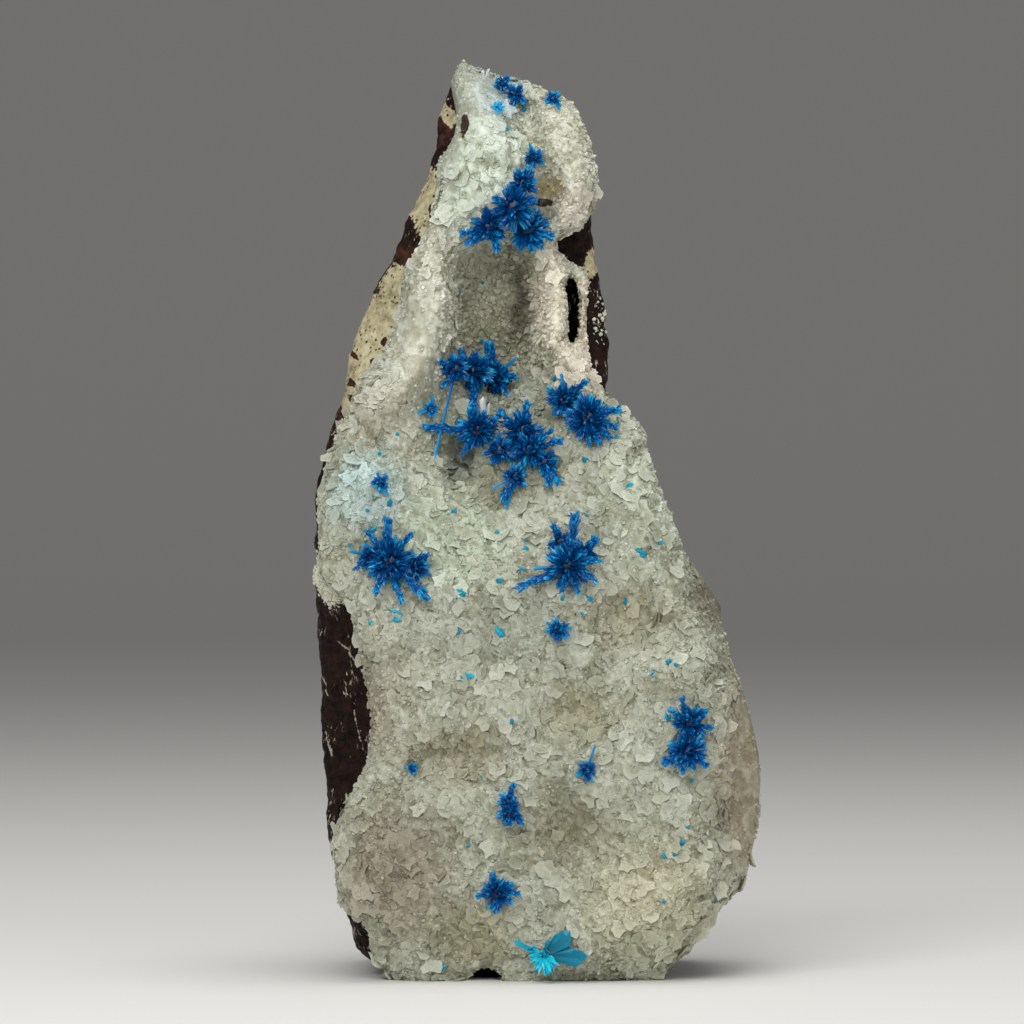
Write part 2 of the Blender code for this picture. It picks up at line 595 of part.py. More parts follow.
def add_blade(bm, base, tip, width, turn):
    """One flattened crystal from base to tip, with a blunt point."""
    axis = tip - base
    length = axis.length
    body = length * (1.0 - POINT_SHARE)
    made = bmesh.ops.create_cone(
        bm, cap_ends=True, segments=BLADE_SIDES,
        radius1=width * BLADE_RADII[0], radius2=width * BLADE_RADII[1], depth=body,
    )
    verts = made["verts"]
    bmesh.ops.translate(bm, verts=verts, vec=(0.0, 0.0, body / 2))
    end = max({f for v in verts for f in v.link_faces}, key=lambda f: f.calc_center_median().z)
    point = bmesh.ops.poke(bm, faces=[end])["verts"][0]
    point.co = Vector((width * POINT_OFFSET, 0.0, length))
    verts = [*verts, point]
    bmesh.ops.scale(bm, verts=verts, vec=(1.0, BLADE_FLATNESS, 1.0))
    bmesh.ops.rotate(bm, verts=verts, matrix=Matrix.Rotation(turn, 3, "Z"))
    bmesh.ops.rotate(bm, verts=verts, matrix=axis.to_track_quat("Z", "Y").to_matrix())
    bmesh.ops.translate(bm, verts=verts, vec=base)
    bmesh.ops.scale(bm, verts=verts, vec=(MM, MM, MM))


def blade_object(name, base, tip, width, turn, collection):
    bm = bmesh.new()
    add_blade(bm, base, tip, width, turn)
    return link_object(name, finished_mesh(name, bm), collection)


def face_towards(faces, direction):
    return max(faces, key=lambda face: face.normal.dot(direction))


def grow_blade(bm, face, reach, width):
    """Draws one face out into a crystal that ends in a point at reach."""
    middle = face.calc_center_median()
    size = max((vert.co - middle).length for vert in face.verts)
    shrink = min(1.0, width / (2.0 * size))
    stages = [(1.0 - POINT_SHARE, shrink)]
    if reach.length > LONG_BLADE * middle.length:
        stages.insert(0, (BLADE_FOOT, shrink * BLADE_FOOT_WIDTH))
    for along, scale in stages:
        face = bmesh.ops.extrude_discrete_faces(bm, faces=[face])["faces"][0]
        here = face.calc_center_median()
        now = max((vert.co - here).length for vert in face.verts)
        for vert in face.verts:
            vert.co = middle.lerp(reach, along) + (vert.co - here) * scale * size / now
    bmesh.ops.poke(bm, faces=[face])["verts"][0].co = reach


def ball_object(name, centre, radius, tips, rng, collection):
    """The dense heart of a spray: a rough ball whose faces rise into spikes and blades."""
    bm = bmesh.new()
    fineness = 2 if radius > FINE_BALL else 1
    verts = bmesh.ops.create_icosphere(bm, subdivisions=fineness, radius=radius)["verts"]
    for vert in verts:
        vert.co *= rng.uniform(*BALL_ROUGHNESS)
    bm.normal_update()
    outer = [face for face in bm.faces if face.normal.y < BACKMOST_FACE]
    for tip, width in tips:
        reach = tip - centre
        face = face_towards(outer, reach.normalized())
        outer.remove(face)
        grow_blade(bm, face, reach, width)
    every_other = outer[::2]
    for spike in bmesh.ops.poke(bm, faces=every_other)["verts"]:
        spike.co *= rng.uniform(*SPIKE_REACH)
    bmesh.ops.translate(bm, verts=bm.verts, vec=centre)
    for vert in bm.verts:
        vert.co.z = max(vert.co.z, FOOT_CLEARANCE)
    bmesh.ops.scale(bm, verts=bm.verts, vec=(MM, MM, MM))
    return link_object(name, finished_mesh(name, bm), collection)


def connected_pieces(bm):
    """The faces of each connected piece, the smallest piece first."""
    left = set(bm.faces)
    pieces = []
    while left:
        stack = [left.pop()]
        piece = list(stack)
        while stack:
            for edge in stack.pop().edges:
                for face in edge.link_faces:
                    if face in left:
                        left.remove(face)
                        stack.append(face)
                        piece.append(face)
        pieces.append(piece)
    return sorted(pieces, key=len)


def biggest_piece(mesh):
    """Deletes all but the largest connected piece, so that a cut leaves one body."""
    bm = bmesh.new()
    bm.from_mesh(mesh)
    for piece in connected_pieces(bm)[:-1]:
        bmesh.ops.delete(bm, geom=piece, context="FACES")
    bmesh.ops.dissolve_limit(
        bm, angle_limit=FLAT_ENOUGH, verts=bm.verts, edges=bm.edges, use_dissolve_boundaries=False,
    )
    bmesh.ops.triangulate(bm, faces=[f for f in bm.faces if len(f.verts) > 3])
    bm.to_mesh(mesh)
    bm.free()
    return mesh


def ball_centre(x, z, radius):
    """A ball sits on the highest druse within its reach, so that it bridges a steep edge."""
    reach = radius * SEAT_REACH
    around = [(x, z), (x + reach, z), (x - reach, z), (x, z + reach), (x, z - reach)]
    seat = max(front_depth(px, pz) for px, pz in around)
    return Vector((x, -seat - GAP - BALL_STAND * radius, z))


def blade_tips(number, centre, blades):
    """Where the blades of one ball end, always clear of the druse."""
    tips = []
    for ball, x, z, forward, width in blades:
        if ball == number:
            clear_y = -front_depth(x, z) - TIP_CLEARANCE
            tips.append((Vector((x, min(centre.y - forward, clear_y), z)), width))
    return tips


def build_spray(index, name, balls, blades, seat, mat):
    rng = random.Random(SPRAY_SEED + index)
    first_part = new_collection(name + "_first")
    rest = new_collection(name + "_rest")
    centres = [ball_centre(*ball) for ball in balls]
    for number, (x, z, radius) in enumerate(balls):
        centre = centres[number]
        tips = blade_tips(number, centre, blades)
        ball_object(name + "_ball", centre, radius, tips, rng, rest if number else first_part)
        if number and (centre - centres[number - 1]).length > LINK_SHARE * radius:
            width = min(radius, balls[number - 1][2])
            turn = rng.uniform(0.0, math.pi)
            blade_object(name + "_link", centres[number - 1], centre, width, turn, rest)
    first = first_part.objects[0]
    join(first, rest)
    cut(first, seat)
    mesh = biggest_piece(evaluated_mesh(first))
    mesh.name = name
    for collection in (first_part, rest):
        for obj in list(collection.objects):
            bpy.data.objects.remove(obj)
        bpy.data.collections.remove(collection)
    return make_object(name, mesh, mat)


def build_crust_and_rock(druse_mat, basalt_mat):
    """The crust, the rock behind it, and the hidden copy of the crust that seats the sprays."""
    heights = rows()
    peak_x = 0.5 * (read_profile(LEFT_SIDE, HEIGHT) + read_profile(RIGHT_SIDE, HEIGHT))
    crust_rings = [crust_ring(z) for z in heights]
    matrix_rings = [matrix_ring(z) for z in heights if z < MATRIX_TOP]
    crust_mesh = loft("druse_crust", crust_rings, (peak_x, *CRUST_PEAK))
    matrix_mesh = loft("basalt_matrix", matrix_rings, (peak_x, *MATRIX_PEAK), True)
    seat = hide_helper(make_object("seat", crust_mesh.copy(), druse_mat))
    seat.location = (0.0, -GAP * MM, 0.0)
    crust = make_object("druse_crust", crust_mesh, druse_mat)
    matrix = make_object("basalt_matrix", matrix_mesh, basalt_mat)
    return crust, matrix, seat


def slot_cutter():
    middle = 0.5 * (SLOT[0][0] + SLOT[3][0])
    back = -front_depth(middle, SLOT[-1][1]) + SLOT_DEPTH
    return extruded_outline("slot", SLOT, SLOT_FRONT, back)


def nick_cutter():
    front = -read_profile(FRONT_PROFILE, 0.0)
    return extruded_outline("nick", NICK, front - NICK_REACH, front + NICK_DEPTH)


def build():
    clear_scene()
    specimen = link_object("specimen", None)
    druse_mat = principled("druse", DRUSE_COLOUR, DRUSE_ROUGHNESS)
    basalt_mat = principled("basalt", BASALT_COLOUR, BASALT_ROUGHNESS)
    spray_mat = principled("pentagonite", SPRAY_COLOUR, SPRAY_ROUGHNESS)
    fan_mat = principled("pale_pentagonite", FAN_COLOUR, SPRAY_ROUGHNESS)

    crust, matrix, seat = build_crust_and_rock(druse_mat, basalt_mat)
    slot = slot_cutter()
    cut(crust, slot)
    cut(crust, nick_cutter())
    cut(matrix, slot)
    for index, (name, spray) in enumerate(SPRAYS.items()):
        mat = fan_mat if name == "spray_foot_fan" else spray_mat
        build_spray(index, name, spray["balls"], spray["blades"], seat, mat)
    for obj in bpy.data.objects:
        if obj is not specimen:
            obj.parent = specimen
    specimen.location = (CENTRE_SHIFT[0] * MM, CENTRE_SHIFT[1] * MM, 0.0)


build()
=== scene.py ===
import functools
import json
import math
import random

import bmesh
import bpy
from mathutils import Matrix, Vector, noise
from mathutils.bvhtree import BVHTree

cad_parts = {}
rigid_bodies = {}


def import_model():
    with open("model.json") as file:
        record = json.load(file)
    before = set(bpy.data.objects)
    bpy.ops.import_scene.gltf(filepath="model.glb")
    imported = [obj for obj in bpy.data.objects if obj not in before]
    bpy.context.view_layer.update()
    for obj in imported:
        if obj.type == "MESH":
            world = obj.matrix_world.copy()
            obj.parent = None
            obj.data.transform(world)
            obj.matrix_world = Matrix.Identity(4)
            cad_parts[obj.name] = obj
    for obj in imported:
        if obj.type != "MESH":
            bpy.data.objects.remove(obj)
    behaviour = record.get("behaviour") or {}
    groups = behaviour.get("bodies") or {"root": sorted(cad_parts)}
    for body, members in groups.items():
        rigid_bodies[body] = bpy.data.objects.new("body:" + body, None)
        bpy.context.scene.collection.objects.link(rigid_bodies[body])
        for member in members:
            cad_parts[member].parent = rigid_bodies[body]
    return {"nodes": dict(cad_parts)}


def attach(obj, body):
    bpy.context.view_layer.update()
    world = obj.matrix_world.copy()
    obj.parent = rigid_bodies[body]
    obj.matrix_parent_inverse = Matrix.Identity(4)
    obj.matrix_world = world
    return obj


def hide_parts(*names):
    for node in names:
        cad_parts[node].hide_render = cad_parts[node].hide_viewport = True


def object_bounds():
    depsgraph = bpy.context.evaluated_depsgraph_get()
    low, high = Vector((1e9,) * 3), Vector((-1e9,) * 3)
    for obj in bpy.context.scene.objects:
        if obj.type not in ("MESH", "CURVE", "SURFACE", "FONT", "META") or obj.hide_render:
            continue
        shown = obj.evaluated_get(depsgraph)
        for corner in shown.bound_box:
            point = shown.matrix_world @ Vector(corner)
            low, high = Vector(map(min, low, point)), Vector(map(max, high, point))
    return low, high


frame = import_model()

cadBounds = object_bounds()
mm = 0.001
shiftX = 0.11  # the sprays' places below are from before the specimen was centred
front = Vector((0.0, -1.0, 0.0))
fullTurn = 6.28
goldenAngle = 2.39996


# Small helpers

def toLinear(hexColour):
    channels = [int(hexColour[i:i + 2], 16) / 255 for i in (1, 3, 5)]
    return [c / 12.92 if c <= 0.04045 else ((c + 0.055) / 1.055) ** 2.4 for c in channels] + [1.0]


def setInputs(tree, node, inputs):
    # An input is a plain value, a hex colour, a socket, or a node for its first output
    for key, value in inputs.items():
        if isinstance(value, str) and value.startswith("#"):
            value = toLinear(value)
        if isinstance(value, bpy.types.Node):
            value = value.outputs[0]
        if isinstance(value, bpy.types.NodeSocket):
            tree.links.new(value, node.inputs[key])
        else:
            node.inputs[key].default_value = value


def addNode(tree, kind, inputs=None, **settings):
    node = tree.nodes.new(kind)
    for key, value in settings.items():
        setattr(node, key, value)
    setInputs(tree, node, inputs or {})
    return node


def easeBetween(low, high, value):
    t = min(1.0, max(0.0, (value - low) / (high - low)))
    return t * t * (3.0 - 2.0 * t)


def grain(x, y, z, size, shift=0.0):
    return noise.noise(Vector((x / size + shift, y / size, z / size)))


def linkMesh(name, bm):
    mesh = bpy.data.meshes.new(name)
    bm.to_mesh(mesh)
    bm.free()
    piece = bpy.data.objects.new(name, mesh)
    bpy.context.scene.collection.objects.link(piece)
    return piece


def openMesh(mesh):
    bm = bmesh.new()
    bm.from_mesh(mesh)
    return bm


def mergedCopy(nodeName):
    bm = openMesh(frame["nodes"][nodeName].data)
    bmesh.ops.remove_doubles(bm, verts=bm.verts, dist=1e-6)
    return bm


def surfaceOf(bm):
    tree = BVHTree.FromBMesh(bm)
    bm.free()
    return tree


def frontOf(tree, x, z):
    # Where a ray from the front first meets the surface
    hit = tree.ray_cast(Vector((x * mm, -0.1, z * mm)), Vector((0.0, 1.0, 0.0)))[0]
    return None if hit is None else hit.y / mm


def refine(bm, longest, wanted):
    # Halves the long edges of the wanted faces, four times at most
    for halving in range(4):
        edges = [edge for edge in bm.edges
                 if edge.calc_length() > longest * mm and any(wanted(face) for face in edge.link_faces)]
        bmesh.ops.subdivide_edges(bm, edges=edges, cuts=1)
        bmesh.ops.triangulate(bm, faces=[face for face in bm.faces if len(face.verts) > 3])
        bm.normal_update()


def smooth(bm, rounds, wanted):
    loose = [vert for vert in bm.verts if wanted(vert)]
    for step in range(rounds):
        bmesh.ops.smooth_vert(bm, verts=loose, factor=0.5, use_axis_x=True, use_axis_y=True, use_axis_z=True)
    bm.normal_update()


def keepInside(point):
    # No visual detail reaches past the solids' own box
    low, high = cadBounds
    return Vector([min(high[i], max(low[i], point[i])) for i in range(3)])


def finishPiece(piece, material, slotName, *nodeNames, rounded=True):
    piece.data.materials.clear()
    piece.data.materials.append(material)
    piece.data.polygons.foreach_set("use_smooth", [rounded] * len(piece.data.polygons))
    for vert in piece.data.vertices:
        vert.co = keepInside(vert.co)
    piece.data.update()
    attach(piece, "root")
    if nodeNames:
        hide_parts(*nodeNames)
    print(piece.name, sum(len(p.vertices) - 2 for p in piece.data.polygons), "triangles")


# Materials

def newMaterial(name):
    material = bpy.data.materials.new(name)
    material.use_nodes = True
    return material, material.node_tree, material.node_tree.nodes["Principled BSDF"]


def makePlainMaterial(name, inputs):
    material, tree, shader = newMaterial(name)
    setInputs(tree, shader, inputs)
    return material


def layOver(tree, under, over, value, low, high):
    # The second colour covers the first as the value goes from low to high
    share = addNode(tree, "ShaderNodeMapRange", {0: value, 1: low, 2: high})
    return addNode(tree, "ShaderNodeMix", {"Factor": share, 6: under, 7: over}, data_type="RGBA").outputs[2]


# The scales of noise and cells are to the metre, so 4000 makes cells of 0.25 mm

def makeDruseMaterial(name, share, depth):
    # Milky zeolite druse: sugary crystals grown together, light sinks in about a millimetre
    material, tree, shader = newMaterial(name)
    add = functools.partial(addNode, tree)
    place = add("ShaderNodeTexCoord").outputs["Object"]
    tintAndShade = add("ShaderNodeAttribute", attribute_name="tintAndShade").outputs["Color"]
    reliefShading, edge, stainAndCrackShade = [add("ShaderNodeAttribute", attribute_name=word).outputs["Fac"]
                           for word in ("reliefShading", "edge", "stainAndCrackShade")]
    # painted light and shade: recesses go olive as painted shade, rims and high crystal ends nearly white as
    # painted light through thin translucent edges
    rim = add("ShaderNodeMath", {0: edge, 1: 3.0}, operation="POWER")
    paintedLightAndShade = add("ShaderNodeMath", {0: rim, 1: 0.34, 2: reliefShading}, operation="MULTIPLY_ADD")
    colour = layOver(tree, "#b6b3a1", "#dadbd2", paintedLightAndShade, 0.08, 0.45)
    colour = layOver(tree, colour, "#f6f7f3", paintedLightAndShade, 0.45, 0.95)
    colour = add("ShaderNodeMix", {"Factor": 1.0, 6: tintAndShade, 7: colour}, data_type="RGBA",
                 blend_type="MULTIPLY").outputs[2]
    # dark brown where rock shows through, and painted shade in a crack
    ragged = add("ShaderNodeTexNoise", {"Vector": place, "Scale": 1500.0, "Detail": 3.0})
    marked = add("ShaderNodeMath", {0: ragged, 1: 0.4, 2: stainAndCrackShade}, operation="MULTIPLY_ADD")
    colour = layOver(tree, colour, "#3d2a1f", marked, 0.66, 0.72)
    cloud = add("ShaderNodeTexNoise", {"Vector": place, "Scale": 700.0, "Detail": 4.0})
    mottle = add("ShaderNodeMapRange", {0: cloud, 1: 0.3, 2: 0.7, 3: 0.93, 4: 1.07})
    colour = add("ShaderNodeVectorMath", {0: colour, "Scale": mottle}, operation="SCALE")
    # crystal faces of about 0.25 mm, each tilted its own way, some glossier than others
    sugar = add("ShaderNodeTexVoronoi", {"Vector": place, "Scale": 4000.0})
    scaled = add("ShaderNodeVectorMath", {0: place, "Scale": 4000.0}, operation="SCALE")
    away = add("ShaderNodeVectorMath", {0: scaled, 1: sugar.outputs["Position"]}, operation="SUBTRACT")
    tilt = add("ShaderNodeVectorMath", {0: sugar.outputs["Color"], 1: (0.5, 0.5, 0.5)}, operation="SUBTRACT")
    face = add("ShaderNodeVectorMath", {0: away, 1: tilt}, operation="DOT_PRODUCT").outputs["Value"]
    setInputs(tree, shader, {
        "Base Color": colour, "IOR": 1.5,
        "Normal": add("ShaderNodeBump", {"Height": face, "Strength": 1.0, "Distance": 0.07 * mm}),
        "Roughness": add("ShaderNodeMapRange", {0: sugar.outputs["Color"], 3: 0.25, 4: 0.60}),
        "Subsurface Weight": share, "Subsurface Scale": depth * mm, "Subsurface Radius": (1.0, 0.95, 0.75),
    })
    return material


def makeRockMaterial():
    # Vesicular basalt, broken with a hammer: near-black brown with short pale streaks, a tan
    # weathered rind with dark pores, thin pale veins and a film of druse along the crust
    material, tree, shader = newMaterial("basaltWithRind")
    add = functools.partial(addNode, tree)
    place = add("ShaderNodeTexCoord").outputs["Object"]
    tall = add("ShaderNodeVectorMath", {0: place, 1: (1.0, 1.0, 0.42)}, operation="MULTIPLY")
    ground = add("ShaderNodeTexNoise", {"Vector": place, "Scale": 900.0, "Detail": 5.0, "Roughness": 0.65})
    fine = add("ShaderNodeTexNoise", {"Vector": place, "Scale": 2600.0, "Detail": 3.0})
    streak = add("ShaderNodeTexNoise", {"Vector": tall, "Scale": 2600.0, "Detail": 3.0, "Distortion": 0.5})
    region = add("ShaderNodeTexNoise", {"Vector": place, "Scale": 330.0, "Detail": 2.0})
    pores = add("ShaderNodeTexVoronoi", {"Vector": place, "Scale": 1500.0})
    basalt = layOver(tree, "#060301", "#2e1910", ground, 0.36, 0.74)
    rind = layOver(tree, "#857b5c", "#c1b897", ground, 0.32, 0.62)
    brown = layOver(tree, "#160c08", "#4a2c21", ground, 0.35, 0.65)
    # the basalt's streaks and the rind's pores come in patches
    marked = []
    kinds = [(basalt, "#c0b5a6", streak, 0.60, 0.65, 0.51, 0.62),
             (rind, "#35291c", pores, 0.30, 0.20, 0.38, 0.50)]
    for under, over, value, low, high, patchLow, patchHigh in kinds:
        share = add("ShaderNodeMapRange", {0: value, 1: low, 2: high})
        patch = add("ShaderNodeMapRange", {0: region, 1: patchLow, 2: patchHigh})
        share = add("ShaderNodeMath", {0: share, 1: patch}, operation="MULTIPLY")
        marked.append(layOver(tree, under, over, share, 0.0, 1.0))
    colour, rind = marked
    # each kind of mark has a frayed edge
    rough = add("ShaderNodeMath", {0: fine, 1: 0.9, 2: -0.45}, operation="MULTIPLY_ADD")
    marks = [("tan", rind, 1.0, 0.42, 0.50), ("brown", brown, 1.0, 0.46, 0.54),
             ("film", "#cfccb8", 1.0, 0.44, 0.52), ("vein", "#978f82", 0.45, 0.09, 0.04)]
    for word, over, fray, low, high in marks:
        mark = add("ShaderNodeAttribute", attribute_name=word).outputs["Fac"]
        frayed = add("ShaderNodeMath", {0: rough, 1: fray, 2: mark}, operation="MULTIPLY_ADD")
        colour = layOver(tree, colour, over, frayed, low, high)
    height = add("ShaderNodeMath", {0: fine, 1: 0.4, 2: ground}, operation="MULTIPLY_ADD")
    setInputs(tree, shader, {
        "Base Color": colour, "IOR": 1.55, "Specular IOR Level": 0.12,
        "Normal": add("ShaderNodeBump", {"Height": height, "Strength": 0.8, "Distance": 0.25 * mm}),
        "Roughness": add("ShaderNodeMapRange", {0: fine, 1: 0.3, 2: 0.7, 3: 0.45, 4: 0.95}),
    })
    return material


def makeCrystalMaterial(name, root, middle, tip):
    # Pentagonite: glassy blue calcium vanadium silicate. Its colour is partly painted light and shade: deep
    # where blades face the front or crowd in the heart, paler on side-on blades and towards tips, with
    # painted glints on a few
    material, tree, shader = newMaterial(name)
    along, shade = [addNode(tree, "ShaderNodeAttribute", attribute_name=word).outputs["Fac"]
                    for word in ("along", "shade")]
    place = addNode(tree, "ShaderNodeMath", {0: along, 1: 0.30, 2: shade}, operation="MULTIPLY_ADD")
    colour = layOver(tree, root, middle, place, 0.0, 0.5)
    colour = layOver(tree, colour, tip, place, 0.5, 1.0)
    setInputs(tree, shader, {"Base Color": colour, "IOR": 1.55, "Roughness": 0.14,
                             "Transmission Weight": 0.25, "Specular IOR Level": 0.16})
    return material


# The crystals that everything is grown from. Each stands on the origin, one unit tall.

def tag(bm, name, valueOf):
    layer = bm.verts.layers.float.new(name)
    for vert in bm.verts:
        vert[layer] = valueOf(vert)


def isUpper(vert):
    return vert.co.z > 0.0


def bladeCrystal(name, sides, foot, shoulder, apex):
    bm = bmesh.new()
    bmesh.ops.create_cone(bm, cap_ends=True, segments=sides, radius1=foot, radius2=0.5, depth=shoulder)
    bmesh.ops.translate(bm, verts=bm.verts, vec=(0.0, 0.0, shoulder / 2))
    top = max(bm.faces, key=lambda face: face.calc_center_median().z)
    point = bmesh.ops.poke(bm, faces=[top])["verts"][0]
    point.co = Vector((apex, 0.0, 1.0))
    tag(bm, "along", lambda vert: vert.co.z)
    return linkMesh(name, bm)


def grainCrystal(name, sides, waist, top, tilt):
    bm = bmesh.new()
    bmesh.ops.create_cone(bm, cap_ends=True, segments=sides, radius1=0.5, radius2=top, depth=1.0)
    bmesh.ops.scale(bm, verts=bm.verts, vec=(1.0, waist, 1.0))
    # painted light: the upper end is marked as edge, which the druse material paints lighter
    tag(bm, "edge", isUpper)
    upper = [vert for vert in bm.verts if isUpper(vert)]
    bmesh.ops.rotate(bm, verts=upper, cent=(0.0, 0.0, 0.5), matrix=Matrix.Rotation(tilt, 3, "X"))
    return linkMesh(name, bm)


def plateCrystal(name, sides, seed):
    # A thin scale whose ragged rim stands a little higher than its middle
    rng = random.Random(seed)
    bm = bmesh.new()
    bmesh.ops.create_cone(bm, cap_ends=True, segments=sides, radius1=0.40, radius2=0.5, depth=1.0)
    rim = [rng.uniform(0.58, 1.22) for number in range(sides)]
    for vert in bm.verts:
        share = rim[round(math.atan2(vert.co.y, vert.co.x) / (2 * math.pi / sides)) % sides]
        vert.co.x *= share
        vert.co.y *= share
    # painted light: the rim is marked as edge, which the druse material paints lighter than the middle
    tag(bm, "edge", isUpper)
    top = max(bm.faces, key=lambda face: face.calc_center_median().z)
    middle = bmesh.ops.poke(bm, faces=[top])["verts"][0]
    middle.co = Vector((0.0, 0.0, 0.35))
    middle[bm.verts.layers.float["edge"]] = 0.1
    bmesh.ops.translate(bm, verts=list(bm.verts), vec=(0.0, 0.0, -0.35))
    return linkMesh(name, bm)


def coreBall(name):
    # The dense heart of a ball of crystals, coloured dark: partly the deep blue of crowded crystals, partly
    # painted shade in their depth
    bm = bmesh.new()
    bmesh.ops.create_icosphere(bm, subdivisions=2, radius=0.5, matrix=Matrix.Translation((0.0, 0.0, 0.5)))
    bm.verts.layers.float.new("along")
    return linkMesh(name, bm)


def gather(name, pieces):
    collection = bpy.data.collections.new(name)
    bpy.context.scene.collection.children.link(collection)
    for piece in pieces:
        collection.objects.link(piece)
        bpy.context.scene.collection.objects.unlink(piece)
    return collection


def runNodes(piece, tree):
    # Applies the node tree to the piece and leaves a plain mesh
    modifier = piece.modifiers.new(tree.name, "NODES")
    modifier.node_group = tree
    graph = bpy.context.evaluated_depsgraph_get()
    mesh = bpy.data.meshes.new_from_object(piece.evaluated_get(graph), depsgraph=graph)
    piece.modifiers.clear()
    old = piece.data
    piece.data = mesh
    bpy.data.meshes.remove(old)
    return piece


def newGeometryTree(name):
    tree = bpy.data.node_groups.new(name, "GeometryNodeTree")
    tree.interface.new_socket("Geometry", in_out="INPUT", socket_type="NodeSocketGeometry")
    tree.interface.new_socket("Geometry", in_out="OUTPUT", socket_type="NodeSocketGeometry")
    start = tree.nodes.new("NodeGroupInput").outputs[0]
    end = tree.nodes.new("NodeGroupOutput").inputs[0]
    return tree, start, end


def growOn(tree, end, collection, points, kind, rotation, size):
    # One real crystal on each point, by its own kind, turn and size
    models = addNode(tree, "GeometryNodeCollectionInfo",
                     {"Collection": collection, "Separate Children": True, "Reset Children": True})
    grown = addNode(tree, "GeometryNodeInstanceOnPoints",
                    {"Points": points, "Instance": models, "Pick Instance": True, "Instance Index": kind,
                     "Rotation": rotation, "Scale": size})
    real = addNode(tree, "GeometryNodeRealizeInstances", {0: grown})
    tree.links.new(real.outputs[0], end)
    return tree


def placedTree(collection):
    tree, start, end = newGeometryTree("growPlaced")
    forms = (("turn", "FLOAT_VECTOR"), ("size", "FLOAT_VECTOR"), ("kind", "INT"))
    turn, size, kind = [addNode(tree, "GeometryNodeInputNamedAttribute", {"Name": word}, data_type=form)
                        for word, form in forms]
    rotation = addNode(tree, "FunctionNodeEulerToRotation", {0: turn})
    return growOn(tree, end, collection, start, kind, rotation, size)


def scatterTree(collection, seed, where, perSquareMm, widths, skew, height, lean):
    # Covers a surface with crystals that lean a little off its normal, the small ones commoner
    tree, start, end = newGeometryTree("growScattered")
    add = functools.partial(addNode, tree)
    wanted = add("GeometryNodeInputNamedAttribute", {"Name": where}, data_type="FLOAT")
    density = add("ShaderNodeMath", {0: wanted, 1: perSquareMm * 1e6}, operation="MULTIPLY")
    spread = add("GeometryNodeDistributePointsOnFaces", {"Mesh": start, "Density": density, "Seed": seed})
    off = add("FunctionNodeRandomValue", data_type="FLOAT_VECTOR",
              inputs={0: (-lean, -lean, 0.0), 1: (lean, lean, 2 * math.pi), "Seed": seed + 1})
    turned = add("FunctionNodeRotateRotation", {0: spread.outputs["Rotation"], 1: off},
                 rotation_space="LOCAL")
    low, high = widths
    foot, rise = height
    pick = add("FunctionNodeRandomValue", {2: 0.0, 3: 1.0, "Seed": seed + 2}).outputs[1]
    skewed = add("ShaderNodeMath", {0: pick, 1: skew}, operation="POWER")
    width = add("ShaderNodeMath", {0: skewed, 1: (high - low) * mm, 2: low * mm}, operation="MULTIPLY_ADD")
    tall = add("ShaderNodeMath", {0: width, 1: rise, 2: foot * mm}, operation="MULTIPLY_ADD")
    size = add("ShaderNodeCombineXYZ", {0: width, 1: width, 2: tall})
    kind = add("FunctionNodeRandomValue", {4: 0, 5: len(collection.objects) - 1, "Seed": seed + 3},
               data_type="INT").outputs[2]
    return growOn(tree, end, collection, spread, kind, turned, size)


# Druse crust. Lengths in millimetres, places as (x, height).

druse = {
    "steps": [(1.4, 3), (0.7, 4)],  # longest edge, then rounds of smoothing
    "seen": 0.345,  # longest edge where the crust faces the front
    "swellSpacing": 3.2,  # round swellings under the crystals
    "swellRadius": (1.2, 2.6),
    "swellRise": (0.14, 0.34),
    "swellLean": (0.0, 0.08),
    "swellMissing": 0.30,
    "ragged": 0.26,
    "fine": 0.56,  # width of the crystal ends
    "coarse": 0.86,
    "facetDepth": 0.30,
    "sunk": 0.22,
    "seed": 5,
}

